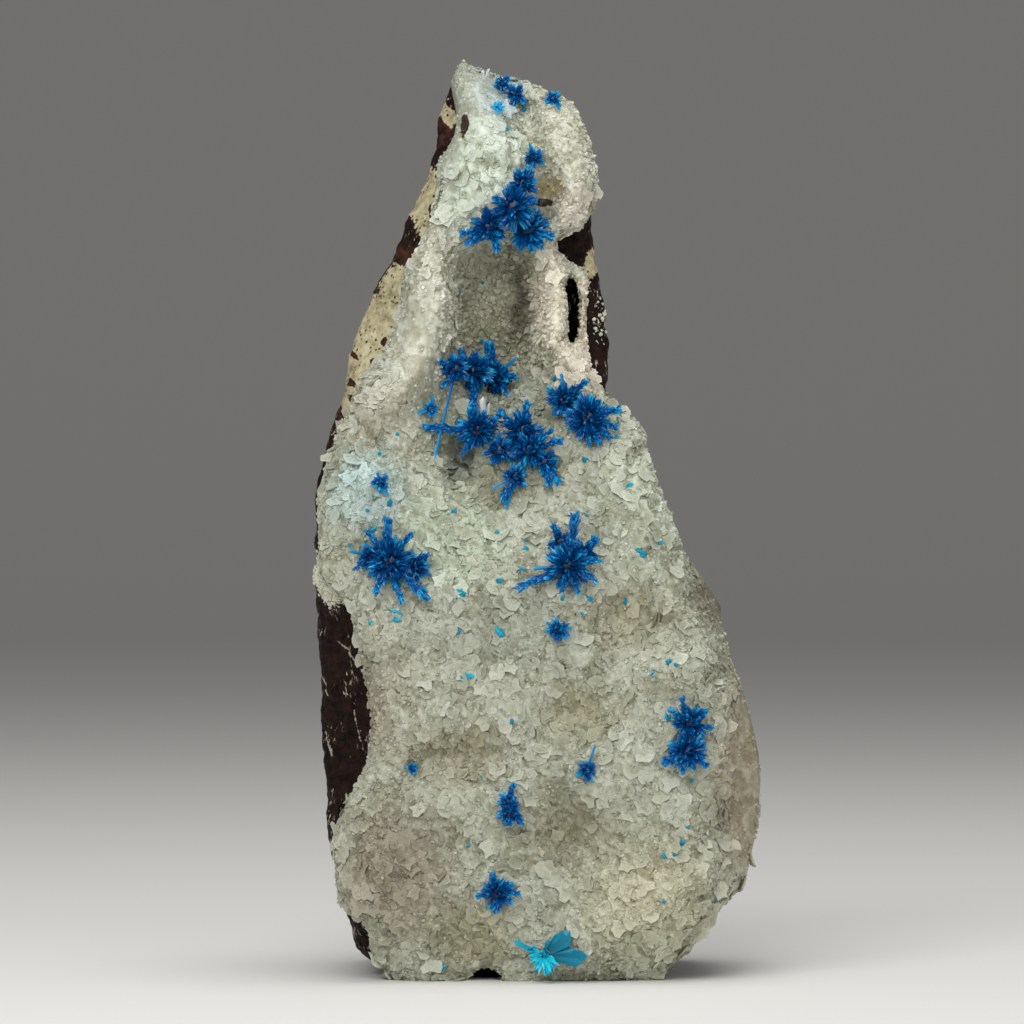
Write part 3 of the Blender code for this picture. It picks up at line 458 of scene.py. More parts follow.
# Colour of the druse by region, two of them painted shade: colour, x, height, half-width, half-height
druseBase = "#c2c4b5"
druseRegions = [
    ("#dee8dc", -5.4, 87.0, 6.0, 9.5), ("#dce3e1", -7.4, 97.0, 4.0, 4.2),
    ("#cbdce5", -4.0, 95.6, 2.2, 3.0), ("#e4e3d4", 2.9, 90.0, 4.6, 7.4),
    ("#e6ded3", 3.9, 83.4, 3.6, 2.6), ("#e8d9b2", 1.0, 85.4, 2.0, 1.6),
    ("#f3f3e9", -11.4, 75.5, 3.4, 7.0), ("#f3f3e9", -13.4, 67.0, 4.6, 5.0),
    ("#c6c1b2", -17.5, 61.0, 5.0, 4.0), ("#c1bda8", -4.4, 72.5, 5.6, 9.5),
    # the dark one at -1.5, 73.0 is painted shade on the deep right side of the hollow
    ("#473f2a", -1.5, 73.0, 1.7, 4.2), ("#f3e9d9", 1.4, 73.5, 2.4, 8.0),
    ("#f3e9da", 4.6, 66.0, 3.0, 4.0), ("#a6ab9c", -5.0, 60.0, 8.0, 5.0),
    ("#94937c", -4.0, 53.0, 5.0, 3.0), ("#c1d8d9", -18.0, 52.5, 4.4, 5.0),
    ("#d1dccb", -10.0, 47.0, 7.0, 6.0), ("#cfd5c6", 11.5, 50.5, 6.5, 8.0),
    ("#b3ae96", 10.2, 39.2, 5.0, 4.0), ("#8f897c", 19.0, 42.0, 3.0, 5.0),
    ("#baaf9c", 22.0, 22.0, 3.2, 12.0), ("#bab69d", 4.7, 28.6, 5.0, 3.4),
    ("#9a967e", 3.6, 16.0, 6.0, 4.0), ("#afaa94", -9.0, 24.5, 6.5, 3.4),
    ("#b2ac9c", -17.5, 30.0, 4.0, 8.0), ("#a19785", -15.0, 12.0, 6.5, 8.0),
    ("#cecab1", 12.0, 9.0, 8.0, 7.0), ("#b3ae93", -7.0, 5.0, 5.0, 4.0),
    # the near-black one at -8.4, 56.2 is a painted shadow beside the centre spray
    ("#b1b5a7", -3.0, 38.0, 8.0, 4.5), ("#202d2d", -8.4, 56.2, 1.8, 2.8),
    ("#f1e4d5", 5.3, 72.5, 0.9, 5.0),
]
# Where brown rock shows through, and a crack painted dark as painted shade
stainAndCrackPlaces = [(-7.9, 92.4, 0.6, 1.3), (0.7, 84.0, 1.1, 0.5)]
# Where the crust stays smooth and carries few crystals: x, height, half-width, half-height
smoothPlaces = [(-7.4, 97.0, 4.8, 5.6), (-9.4, 90.5, 1.8, 3.0), (1.0, 85.4, 2.2, 1.7), (21.0, 41.0, 3.0, 6.0),
                (22.6, 22.0, 1.8, 12.0), (-12.6, 68.0, 3.0, 8.0)]


def blobShare(x, z, cx, cz, halfX, halfZ):
    return easeBetween(1.35, 0.35, math.hypot((x - cx) / halfX, (z - cz) / halfZ))


def within(places, x, z):
    return max(blobShare(x, z, *blob) for blob in places)


def druseTint(x, z):
    wx = x + 1.1 * grain(x, 0.0, z, 2.6) + 0.5 * grain(x, 3.0, z, 0.9)
    wz = z + 1.1 * grain(x, 7.0, z, 2.6) + 0.5 * grain(x, 5.0, z, 0.9)
    colour = Vector(toLinear(druseBase)[:3])
    # region colours over the base, two of them painted shade
    for name, cx, cz, halfX, halfZ in druseRegions:
        colour = colour.lerp(regionColours[name], 0.85 * blobShare(wx, wz, cx, cz, halfX, halfZ))
    return colour


regionColours = {row[0]: Vector(toLinear(row[0])[:3]) for row in druseRegions}


def makeSwellings():
    rng = random.Random(druse["seed"])
    spacing = druse["swellSpacing"]
    swellings = {}
    for column in range(math.floor(-26 / spacing), math.ceil(26 / spacing)):
        for row in range(-1, math.ceil(102 / spacing)):
            if rng.random() < druse["swellMissing"]:
                continue
            swellings[column, row] = ((column + rng.random()) * spacing, (row + rng.random()) * spacing,
                                      rng.uniform(*druse["swellRadius"]), rng.uniform(*druse["swellRise"]),
                                      rng.uniform(*druse["swellLean"]))
    return swellings


swellings = makeSwellings()


def swellHeight(x, z):
    # The highest of the swellings over the place, and how near the place is to that one's rim
    column, row = (math.floor(c / druse["swellSpacing"]) for c in (x, z))
    best, rim = 0.0, 0.0
    for place in ((column + i, row + j) for i in (-1, 0, 1) for j in (-1, 0, 1)):
        if place not in swellings:
            continue
        px, pz, radius, rise, lean = swellings[place]
        share = 1.0 - ((x - px) ** 2 + (z - pz) ** 2) / radius ** 2
        if share > 0.0:
            height = share ** 0.28 * (rise - lean * (z - pz))
            if height > best:
                best, rim = height, easeBetween(0.55, 0.12, share)
    return best, rim


def chance(seed, number):
    return noise.cell(seed * 31.7 + Vector((13.1 * number, 0.0, 0.0)))


def crystalEnds(place, size):
    # Ends of crystals grown together, each tilted its own way: the highest of the nearest four
    scaled = place / size
    seeds = noise.voronoi(scaled)[1]
    best = -9.0
    for seed in seeds:
        away = scaled - seed
        tilt = Vector((chance(seed, 1) - 0.5, chance(seed, 2) - 0.5, chance(seed, 3) - 0.5))
        best = max(best, 0.4 * chance(seed, 4) + 1.2 * tilt.dot(away) - 0.6 * away.length_squared)
    return best * size, chance(seeds[0], 5)


def isLooseCrust(vert):
    return vert.normal.y < 0.25 and 0.3 * mm < vert.co.z < 99.4 * mm


# Where the crystals are wide: x, height, half-width, half-height
coarsePlaces = [(-5.4, 86.0, 7.0, 12.0), (-11.0, 70.0, 4.0, 8.0)]
# Where few plates stand: the deep hollow, the upper right lobe and the wall under it
finePlaces = [(-3.5, 71.0, 6.0, 10.0), (3.5, 90.0, 5.0, 9.0), (3.0, 72.0, 3.5, 8.0), (-16.0, 25.0, 3.0, 12.0)]
# Where the crystals of the deep hollow stand out one by one
knobPlaces = [(-4.0, 69.5, 5.5, 11.0)]

# Crystals strewn over the crust, and last over the rock's film: name, attribute that guides them, number
# to the square millimetre, narrowest and widest, skew towards the narrow ones, height as a foot and a
# share of the width, lean in radians
growths = [
    ("druse_plates", "platy", 0.95, (0.55, 2.5), 2.0, (0.10, 0.045), 0.20),
    ("druse_grains", "grainy", 2.0, (0.28, 0.66), 1.6, (0.14, 0.34), 0.45),
    ("hollow_grains", "knobby", 2.0, (0.45, 1.20), 1.3, (0.28, 0.45), 0.60),
    ("film_grains", "grainy", 5.0, (0.30, 0.80), 1.4, (0.16, 0.30), 0.40),
]


def dressDruse():
    bm = mergedCopy("druse_crust")
    for longest, rounds in druse["steps"]:
        refine(bm, longest, lambda face: face.normal.y < 0.3 and face.normal.z > -0.95)
        smooth(bm, rounds, isLooseCrust)
    refine(bm, druse["seen"], lambda face: face.normal.y < -0.12)
    smooth(bm, 3, isLooseCrust)
    tintAndShade = bm.verts.layers.float_color.new("tintAndShade")
    reliefShading, grainy, platy, knobby, stainAndCrackShade = [bm.verts.layers.float.new(word)
                                            for word in ("reliefShading", "grainy", "platy", "knobby", "stainAndCrackShade")]
    ragged = druse["ragged"]
    moved = []
    for vert in bm.verts:
        facing = easeBetween(0.35, -0.15, vert.normal.y)
        x, y, z = (c / mm for c in vert.co)
        vert[tintAndShade] = (*druseTint(x, z), 1.0)
        vert[stainAndCrackShade] = within(stainAndCrackPlaces, x, z)
        if facing == 0.0:
            vert[reliefShading] = 0.5
            continue
        bare = within(smoothPlaces, x, z)
        fine = within(finePlaces, x, z)
        shiftedX = x + ragged * (grain(x, y, z, 0.9) + 0.5 * grain(x, y, z, 0.35, 9.0))
        shiftedZ = z + ragged * (grain(x, y, z, 0.9, 4.0) + 0.5 * grain(x, y, z, 0.35, 5.0))
        swell, rim = swellHeight(shiftedX, shiftedZ)
        swell *= 1.0 - 0.85 * bare
        fineEnd, tone = crystalEnds(Vector((x, y, z)), druse["fine"])
        wideEnd = crystalEnds(Vector((x, y, z)), druse["coarse"])[0]
        end = (fineEnd + (wideEnd - fineEnd) * within(coarsePlaces, x, z)) * (1.0 - 0.6 * bare)
        vert[grainy] = facing * (1.0 - 0.8 * bare) * (1.0 + 0.7 * fine)
        vert[knobby] = facing * within(knobPlaces, x, z)
        vert[platy] = facing ** 3 * (1.0 - bare) ** 2 * (1.0 - 0.9 * fine)
        # painted light and shade: swellings, their rims and crystal ends raise this value, so the druse
        # material paints high places lighter and low places darker
        vert[reliefShading] = min(1.0, max(0.0, 0.11 + 1.0 * swell + 0.30 * rim + 0.7 * end + 0.10 * tone))
        rise = swell + druse["facetDepth"] * end - druse["sunk"]
        moved.append((vert, vert.normal * rise * facing * mm))
    for vert, offset in moved:
        vert.co = keepInside(vert.co + offset)
    return linkMesh("druse_skin", bm)


# Basalt behind the crust

rock = {
    "steps": [(2.0, 2), (1.1, 1)],
    "seen": 0.5,  # longest edge where the photograph shows the rock
    "veinEdge": 0.13,
    "veinReach": 0.4,
    "rough": (2.2, 0.35),
    "grit": (0.7, 0.14),
    "pit": (1.6, 0.5),
    "filmTint": toLinear("#d7d7c8"),
}
# Tan weathered rind and the brown marks in it: x, height, half-width, half-height
tanPlaces = [(-18.5, 67.0, 5.6, 8.6), (-14.0, 75.0, 4.0, 4.5), (-12.0, 84.3, 2.6, 4.4),
             (-9.8, 93.3, 1.5, 2.0), (6.2, 78.2, 0.9, 2.4)]
brownPlaces = [(-16.9, 68.9, 0.5, 0.6), (-19.3, 66.6, 0.4, 0.4), (-17.6, 66.9, 0.5, 0.5),
               (-20.0, 64.0, 0.5, 0.6), (-19.7, 62.3, 0.8, 0.5), (-21.5, 60.7, 0.5, 0.8),
               (-14.2, 79.1, 1.8, 1.2), (-11.6, 82.4, 0.6, 0.9), (-10.4, 90.6, 1.5, 1.8),
               (-9.0, 92.2, 0.5, 1.2)]
# Pale film of druse on the rock, with its share last
filmPlaces = [(-22.0, 44.0, 2.4, 4.4, 1.0), (-21.6, 48.0, 1.6, 3.0, 1.0), (3.9, 72.5, 1.4, 5.0, 1.0),
              (6.8, 72.5, 2.0, 7.0, 0.35)]
# Pale veins: runs of (x, height)
veinRuns = [[(-21.6, 36.4), (-20.4, 35.4), (-19.3, 33.8)], [(-20.0, 29.7), (-19.6, 27.4), (-19.0, 25.7)],
            [(-22.9, 40.9), (-20.1, 40.3)], [(-23.6, 33.0), (-22.6, 30.5)],
            [(-23.0, 26.5), (-22.2, 24.0)]]


def distanceToRun(x, z, points):
    best = math.inf
    for (ax, az), (bx, bz) in zip(points, points[1:]):
        dx, dz = bx - ax, bz - az
        t = min(1.0, max(0.0, ((x - ax) * dx + (z - az) * dz) / (dx * dx + dz * dz)))
        best = min(best, math.hypot(x - ax - t * dx, z - az - t * dz))
    return best


def veinDistance(place):
    if place.y > 0.0:
        return 9.0
    return min(distanceToRun(place.x / mm, place.z / mm, run) for run in veinRuns)


def isRock(face):
    return face.normal.z > -0.95


def isSeenRock(face):
    middle = face.calc_center_median()
    left = middle.x < -7.0 * mm and face.normal.x < 0.5
    right = middle.x > 4.0 * mm and middle.z > 60.0 * mm
    return face.normal.y < 0.35 and isRock(face) and (left or right)


def isVeinedRock(face):
    return face.normal.y < 0.35 and veinDistance(face.calc_center_median()) < rock["veinReach"]


def isLooseRock(vert):
    return 0.3 * mm < vert.co.z < 99.0 * mm


def dressRock():
    bm = mergedCopy("basalt_matrix")
    for longest, rounds in rock["steps"]:
        refine(bm, longest, isRock)
        smooth(bm, rounds, isLooseRock)
    refine(bm, rock["seen"], isSeenRock)
    refine(bm, rock["veinEdge"], isVeinedRock)
    tan, brown, film, vein, grainy, reliefShading = [bm.verts.layers.float.new(word) for word in
                                              ("tan", "brown", "film", "vein", "grainy", "reliefShading")]
    bm.verts.layers.float.new("stainAndCrackShade")
    tintAndShade = bm.verts.layers.float_color.new("tintAndShade")
    roughSize, roughRise = rock["rough"]
    gritSize, gritRise = rock["grit"]
    pitSize, pitDepth = rock["pit"]
    moved = []
    for vert in bm.verts:
        x, y, z = (c / mm for c in vert.co)
        # the marks keep the photograph's places in front and wander on the sides
        wander = easeBetween(-7.0, 4.0, y)
        mx = x + 2.5 * wander * grain(x, y, z, 5.0, 11.0)
        mz = z + 6.0 * wander * grain(x, y, z, 5.0, 5.0)
        behind = y + 4.0 * grain(x, y, z, 4.0, 2.0)
        vert[tan] = within(tanPlaces, mx, mz) * easeBetween(7.0, 2.0, behind)
        vert[brown] = within(brownPlaces, mx, mz)
        covered = max(share * blobShare(mx, mz, *blob) for *blob, share in filmPlaces)
        covered *= easeBetween(2.0, -2.5, behind)
        vert[film] = covered
        vert[grainy] = easeBetween(0.35, 0.65, covered + 0.4 * grain(x, y, z, 0.8)) * (vert.normal.y < 0.3)
        # the middle level of painted light and shade, for the film's crystals
        vert[reliefShading] = 0.5
        vert[tintAndShade] = rock["filmTint"]
        vert[vein] = veinDistance(vert.co)
        pit = noise.voronoi(Vector((x, y, z)) / pitSize)[0][0]
        hole = easeBetween(0.32, 0.12, pit) * easeBetween(0.0, 0.2, grain(x, y, z, 5.0, 2.0))
        rise = roughRise * grain(x, y, z, roughSize) + gritRise * grain(x, y, z, gritSize)
        rise -= pitDepth * hole * (1.0 - 0.7 * vert[tan])
        moved.append((vert, vert.normal * (rise - 0.1) * mm))
    for vert, offset in moved:
        if vert.co.z > 0.05 * mm:
            vert.co = keepInside(vert.co + offset)
    return linkMesh("basalt_rock", bm)


# Blue sprays, placed as the solids are. Balls are (x, height, radius) and blades (ball, tip x,
# tip height, forward, width).

sprays = {
    "spray_crest": ([(-3.8, 97.1, 0.8), (-2.4, 95.9, 0.95)], [(1, -1.3, 95.0, 0.7, 0.5),
        (1, -2.9, 94.6, 0.9, 0.5), (0, -4.6, 97.2, 0.6, 0.5)]),
    "spray_crest_right": ([(1.7, 95.3, 0.7)], [(0, 2.4, 94.0, 0.4, 0.35), (0, 0.8, 94.7, 0.5, 0.35)]),
    "spray_crest_cyan": ([(-4.3, 94.2, 0.5)], [(0, -3.6, 93.7, 0.5, 0.3)]),
    "spray_upper_fan": ([(-0.5, 88.7, 0.9), (-1.6, 85.8, 1.4), (-2.6, 83.2, 2.0), (-5.2, 81.2, 1.7),
        (-1.0, 81.0, 1.9)], [(0, -0.9, 90.3, 0.6, 0.4), (1, -1.2, 87.6, 1.0, 0.6),
        (3, -8.5, 80.3, 1.2, 0.6), (3, -7.7, 79.2, 1.0, 0.8), (3, -4.3, 78.4, 1.4, 0.7),
        (4, -0.6, 78.6, 1.4, 0.9), (4, 1.7, 80.0, 1.4, 0.8), (4, 0.6, 79.2, 1.0, 0.5),
        (2, -4.8, 84.2, 2.0, 0.6)]),
    "spray_centre_group": ([(-7.0, 65.5, 1.8), (-4.9, 65.0, 1.6), (-8.9, 65.8, 1.4), (-6.6, 59.1, 1.8),
        (-4.2, 56.9, 1.4), (-1.7, 59.1, 1.8), (-1.0, 57.0, 1.7), (0.8, 55.7, 1.2), (-2.4, 54.2, 1.2)], [
        (1, -5.4, 68.9, 1.2, 1.1), (1, -2.2, 67.2, 1.6, 0.45), (1, -2.2, 65.1, 2.0, 0.8),
        (1, -3.0, 63.0, 1.2, 0.7), (2, -10.7, 66.7, 1.0, 0.6), (2, -10.3, 63.8, 0.6, 0.5),
        (2, -11.2, 55.8, 0.3, 0.35), (0, -7.0, 60.0, 0.4, 0.9), (0, -8.4, 68.0, 1.6, 0.6),
        (3, -12.5, 59.5, 1.6, 0.9), (3, -7.2, 61.8, 1.0, 0.9), (3, -3.9, 60.8, 1.8, 0.5),
        (3, -8.2, 56.6, 1.4, 0.5), (5, -4.2, 61.2, 1.0, 0.6), (5, -1.2, 62.2, 1.6, 0.8),
        (6, 2.6, 58.1, 1.4, 0.6), (6, 1.6, 59.2, 2.0, 0.6), (7, 2.2, 53.4, 1.2, 0.8),
        (7, 1.2, 53.0, 1.6, 0.6), (8, -3.9, 51.5, 1.0, 0.9), (8, -3.5, 50.6, 0.8, 0.45),
        (8, -5.0, 52.8, 0.8, 0.35)]),
    "spray_lip": ([(-11.6, 61.4, 0.65)], [(0, -13.0, 61.0, 0.5, 0.4), (0, -10.9, 60.5, 0.6, 0.35),
        (0, -11.3, 62.9, 0.4, 0.35)]),
    "spray_right_shoulder": ([(2.9, 62.4, 1.6), (5.4, 60.4, 2.0)], [(0, 2.5, 65.3, 1.0, 0.45),
        (0, 5.2, 64.5, 1.4, 0.8), (0, 1.1, 63.6, 1.0, 0.5), (0, 3.0, 60.2, 1.2, 0.5),
        (1, 8.9, 61.5, 1.8, 0.8), (1, 8.6, 59.3, 1.4, 0.6), (1, 6.7, 57.6, 1.2, 0.7),
        (1, 5.4, 57.5, 1.4, 0.5), (1, 7.9, 58.1, 1.2, 0.5)]),
    "spray_left_small": ([(-16.8, 53.4, 0.75)], [(0, -16.0, 52.0, 0.5, 0.4), (0, -17.2, 54.6, 0.5, 0.4)]),
    "spray_left": ([(-15.8, 45.0, 2.1), (-13.0, 44.5, 1.4), (-17.8, 45.6, 1.3)], [
        (0, -16.1, 49.7, 1.2, 1.0), (0, -13.4, 48.2, 1.4, 0.6), (0, -11.6, 41.0, 1.4, 0.9),
        (0, -14.5, 40.4, 1.2, 0.7), (0, -17.4, 41.6, 1.2, 0.6), (2, -20.2, 46.2, 0.8, 0.4),
        (2, -19.6, 44.2, 0.9, 0.5), (1, -11.5, 45.9, 1.0, 0.5), (0, -18.4, 48.6, 1.0, 0.5)]),
    "spray_middle": ([(3.3, 44.6, 2.0), (2.4, 47.2, 1.2), (5.0, 46.0, 1.3)], [(0, -2.5, 42.1, 1.3, 0.9),
        (0, -0.6, 44.3, 1.2, 0.45), (1, 1.5, 49.0, 1.2, 0.6), (0, 3.9, 50.3, 1.4, 1.0),
        (2, 6.2, 47.6, 1.2, 0.7), (0, 6.7, 45.3, 1.4, 0.5), (0, 6.2, 42.9, 1.2, 0.7),
        (0, 2.6, 41.7, 1.2, 0.6), (0, 4.4, 41.7, 1.2, 0.6)]),
    "spray_middle_small": ([(2.1, 37.8, 1.0)], [(0, 3.6, 38.0, 0.6, 0.4), (0, 0.8, 38.6, 0.6, 0.4),
        (0, 2.9, 36.7, 0.6, 0.4)]),
    "spray_right": ([(16.2, 27.9, 1.6), (15.9, 24.9, 1.7)], [(1, 13.3, 23.6, 1.2, 0.9),
        (1, 17.9, 23.4, 1.2, 0.8), (0, 15.2, 30.6, 1.0, 0.6), (0, 17.9, 29.3, 1.0, 0.6),
        (0, 14.0, 29.4, 0.9, 0.5), (1, 15.2, 22.6, 1.2, 0.5), (0, 18.6, 27.2, 0.9, 0.5)]),
    "spray_lower_left": ([(-13.4, 23.0, 0.5)], [(0, -12.9, 22.5, 0.4, 0.3)]),
    "spray_lower_right": ([(5.2, 22.8, 0.9)], [(0, 6.1, 25.6, 0.6, 0.3), (0, 4.2, 23.6, 0.6, 0.35),
        (0, 5.9, 21.6, 0.6, 0.35)]),
    "spray_lower_middle": ([(-3.0, 18.2, 1.15), (-3.2, 19.4, 0.8)], [(1, -2.6, 21.4, 0.6, 0.5),
        (0, -1.6, 17.1, 0.8, 0.5), (0, -4.4, 18.6, 0.8, 0.4), (1, -4.2, 20.4, 0.7, 0.35)]),
    "spray_bottom": ([(-4.4, 9.7, 1.5)], [(0, -6.6, 9.5, 0.9, 0.5), (0, -1.9, 9.7, 0.9, 0.5),
        (0, -4.9, 11.9, 0.8, 0.5), (0, -2.6, 11.0, 0.9, 0.45), (0, -4.6, 7.7, 1.0, 0.5)]),
    "spray_foot_fan": ([(0.5, 3.0, 0.8)], [(0, -2.6, 4.6, 0.8, 0.4), (0, 3.4, 5.5, 1.2, 1.6),
        (0, 5.1, 2.9, 1.0, 1.5), (0, -0.3, 0.9, 0.9, 1.0), (0, 2.4, 0.8, 1.0, 1.1),
        (0, -1.5, 3.0, 0.9, 0.8), (0, 1.2, 5.0, 1.4, 0.8)]),
}
palerSprays = {"spray_crest_cyan": 0.55}  # what is added to each crystal's shade
spray = {
    "gap": 0.35, "stand": 0.15, "reach": 0.7, "clear": 0.35,  # how the solids sit on the crust
    "perSquareMm": 7.5,  # crystals on a ball
    "onArm": 6.5,  # crystals on a square millimetre of an arm
    "heads": 3.2,  # pointed heads on a ball of 1 mm
    "towardsHead": 0.6,  # how far a crystal leans to its head
    "behind": 0.45,  # crystals that point further back are left out
    "width": (0.28, 0.46),
    "flatness": 0.6,
    "needleWidth": 0.46,  # blades thinner than this are single crystals
    "core": 0.52,  # radius of the heart, painted dark partly as shade, over the ball's
    "smallModels": 3,  # the first three models, then the place of each other one
    "stemModel": 1,
    "coreModel": 3,
    "leafModel": 4,
    "rodModel": 5,
    "seed": 300,
    "looseSeed": 77,
}


def ballCentre(x, z, radius):
    reach = radius * spray["reach"]
    around = [(x, z), (x + reach, z), (x - reach, z), (x, z + reach), (x, z - reach)]
    hits = [frontOf(crustTree, px, pz) for px, pz in around]
    seat = min(hit for hit in hits if hit is not None)
    return Vector((x, seat - spray["gap"] - spray["stand"] * radius, z))


def turnTowards(aim, spin):
    # Local Z runs along the crystal, and its flat side faces the front when the spin is nil
    flat = front - aim * front.dot(aim)
    if flat.length < 0.1:
        flat = aim.orthogonal()
    flat.normalize()
    turn = Matrix((flat.cross(aim), flat, aim)).transposed()
    return (turn @ Matrix.Rotation(spin, 3, "Z")).to_euler()


def spiralPoint(number, count):
    # Even spacing over a ball, from its front backwards
    height = 1.0 - 2.0 * (number + 0.5) / count
    across = math.sqrt(1.0 - height * height)
    angle = number * goldenAngle
    return Vector((across * math.cos(angle), -height, across * math.sin(angle)))


def jitter(rng, amount):
    return amount * Vector((rng.gauss(0, 1), rng.gauss(0, 1), rng.gauss(0, 1)))


# Each crystal is a row: start, aim, width, thickness, length, spin, model, shade

def ballPlaces(centre, radius, rng):
    # A heart painted dark, partly as painted shade, and stubby crystals all round it that draw together into
    # pointed heads
    heart = radius * spray["core"]
    foot = centre - Vector((0.0, 0.0, heart))
    rows = [(foot, Vector((0.0, 0.0, 1.0)), 2 * heart, 2 * heart, 2 * heart, 0.0, spray["coreModel"], 0.05)]
    headCount = int(6 + spray["heads"] * radius ** 2)
    heads = [(spiralPoint(number, headCount) + jitter(rng, 0.14)).normalized() for number in range(headCount)]
    count = int(spray["perSquareMm"] * 4 * math.pi * radius ** 2) + 14
    for number in range(count):
        aim = (spiralPoint(number, count) + jitter(rng, 0.12)).normalized()
        if aim.y > spray["behind"]:
            continue
        head = max(heads, key=aim.dot)
        near = easeBetween(0.84, 0.99, aim.dot(head))
        aim = (aim + spray["towardsHead"] * head).normalized()
        length = radius * (0.56 + 0.38 * near) * rng.uniform(0.85, 1.12)
        width = rng.uniform(*spray["width"]) * (0.7 + 0.2 * radius)
        # painted light and shade: crystals that point at the front are darker, side-on ones lighter, and the
        # rare large random term is a painted glint
        sideways = max(0.0, 1.0 + aim.y)
        shade = 0.32 * sideways ** 1.6 + 0.08 * near + 0.6 * rng.random() ** 6
        shade += 0.22 * easeBetween(1.4, 0.7, radius) - 0.03
        rows.append((centre + aim * radius * 0.38, aim, width, width * spray["flatness"], length,
                     rng.uniform(0, fullTurn), rng.randrange(spray["smallModels"]), shade))
    return rows


def armPlaces(centre, tip, width, rng):
    # A thick bundle, serrated by short crystals that lean out and forward all along it
    axis = tip - centre
    length = axis.length
    direction = axis.normalized()
    if width < spray["needleWidth"]:
        girth = width * 0.9
        return [(centre, direction, girth, girth * 0.6, length, rng.uniform(-0.5, 0.5),
                 spray["rodModel"], 0.48)]
    rows = [(centre, direction, width * 0.72, width * 0.6, length * 0.97, rng.uniform(0, 3),
             spray["stemModel"], 0.15)]
    across = direction.orthogonal().normalized()
    for number in range(int(spray["onArm"] * math.pi * width * length)):
        along = rng.uniform(0.10, 0.90)
        out = Matrix.Rotation(rng.uniform(0, fullTurn), 3, direction) @ across
        girth = width * 0.62 * (1.10 - 0.35 * along)
        start = centre + direction * length * along + out * girth * rng.uniform(0.15, 0.60)
        aim = (direction + out * rng.uniform(0.12, 0.60)).normalized()
        size = rng.uniform(*spray["width"])
        reach = min(rng.uniform(0.5, 1.0) * (0.45 + 0.6 * width), length * (1.06 - along))
        # lighter towards the tip; the rare large random term is a painted glint
        shade = 0.10 + 0.32 * along + 0.5 * rng.random() ** 4
        rows.append((start, aim, size, size * spray["flatness"], reach, rng.uniform(0, fullTurn),
                     rng.randrange(spray["smallModels"]), shade))
    return rows


def fanPlaces(centre, tip, width, rng):
    # Broad leaves, one rod with a knot, or small blades side by side where the fan opens below
    axis = tip - centre
    length = axis.length
    aim = axis.normalized()
    side = aim.cross(front).normalized()
    if width > 1.2 or (aim.z > 0.3 and width > spray["needleWidth"]):
        leaves = [(0.0, 0.9, 0.7)]
        if width > 1.2:
            leaves = [(-0.9, 0.80, 0.55), (0.0, 1.04, 1.10), (0.8, 0.94, 0.75)]
        return [(centre + side * turn * 0.15, (aim + side * turn * 0.16).normalized(), broad * width, 0.42,
                 length * share, rng.uniform(-0.35, 0.35), spray["leafModel"], rng.uniform(0.0, 0.14))
                for turn, share, broad in leaves]
    if width < spray["needleWidth"]:
        rows = [(centre, aim, 0.58, 0.44, length, 0.4, spray["rodModel"], 0.35)]
        return rows + [row for row in ballPlaces(centre + axis * 0.38, 0.55, rng)[1:] if row[1].y < 0.2]
    rows = []
    count = 8 + round(8 * width)
    for number in range(count):
        offset = (number + rng.random()) / count - 0.5
        out = (aim + side * offset * 1.3 + front * rng.uniform(-0.1, 0.5)).normalized()
        reach = length * (1.0 - 0.4 * abs(offset)) * rng.uniform(0.50, 1.0)
        rows.append((centre + side * offset * 0.3, out, rng.uniform(0.28, 0.50), 0.2, reach,
                     rng.uniform(-0.6, 0.6), rng.randrange(spray["smallModels"]), rng.uniform(0.40, 0.90)))
    return rows


def growCrystals(name, rows):
    bm = bmesh.new()
    turn = bm.verts.layers.float_vector.new("turn")
    size = bm.verts.layers.float_vector.new("size")
    kind = bm.verts.layers.int.new("kind")
    shade = bm.verts.layers.float.new("shade")
    for start, aim, width, thick, length, spin, model, tone in rows:
        vert = bm.verts.new(start * mm)
        vert[turn] = Vector(turnTowards(aim, spin))
        vert[size] = Vector((width, thick, length)) * mm
        vert[kind] = model
        vert[shade] = tone
    return runNodes(linkMesh(name, bm), bladeTree)


def clearTip(centre, tip):
    # Draws the tip forward until the whole blade stands clear of the crust
    y = tip.y
    for step in range(2, 11):
        along = step / 10
        place = centre.lerp(tip, along)
        under = frontOf(crustTree, place.x, place.z)
        if under is not None:
            y = min(y, centre.y + (under - spray["clear"] - centre.y) / along)
    return Vector((tip.x, y, tip.z))


def dressSpray(index, name):
    rng = random.Random(spray["seed"] + index)
    grow = fanPlaces if name == "spray_foot_fan" else armPlaces
    rows = []
    centres = []
    balls, arms = sprays[name]
    for x, z, radius in balls:
        centres.append(ballCentre(x + shiftX, z, radius))
        swell = 0.9 if grow is fanPlaces else 1.05 + 0.25 * easeBetween(1.2, 0.6, radius)
        rows += ballPlaces(centres[-1], radius * swell, rng)
    for ball, x, z, forward, width in arms:
        centre = centres[ball]
        under = frontOf(crustTree, x + shiftX, z)
        y = centre.y - forward
        if under is not None:
            y = min(y, under - spray["clear"])
        tip = Vector((x + shiftX, y, z))
        if width < spray["needleWidth"] and (tip - centre).length > 3.0:
            tip = clearTip(centre, tip)
        rows += grow(centre, tip, width, rng)
    rows = [(*row, shade + palerSprays.get(name, 0.0)) for *row, shade in rows]
    return growCrystals(name + "_crystals", rows)


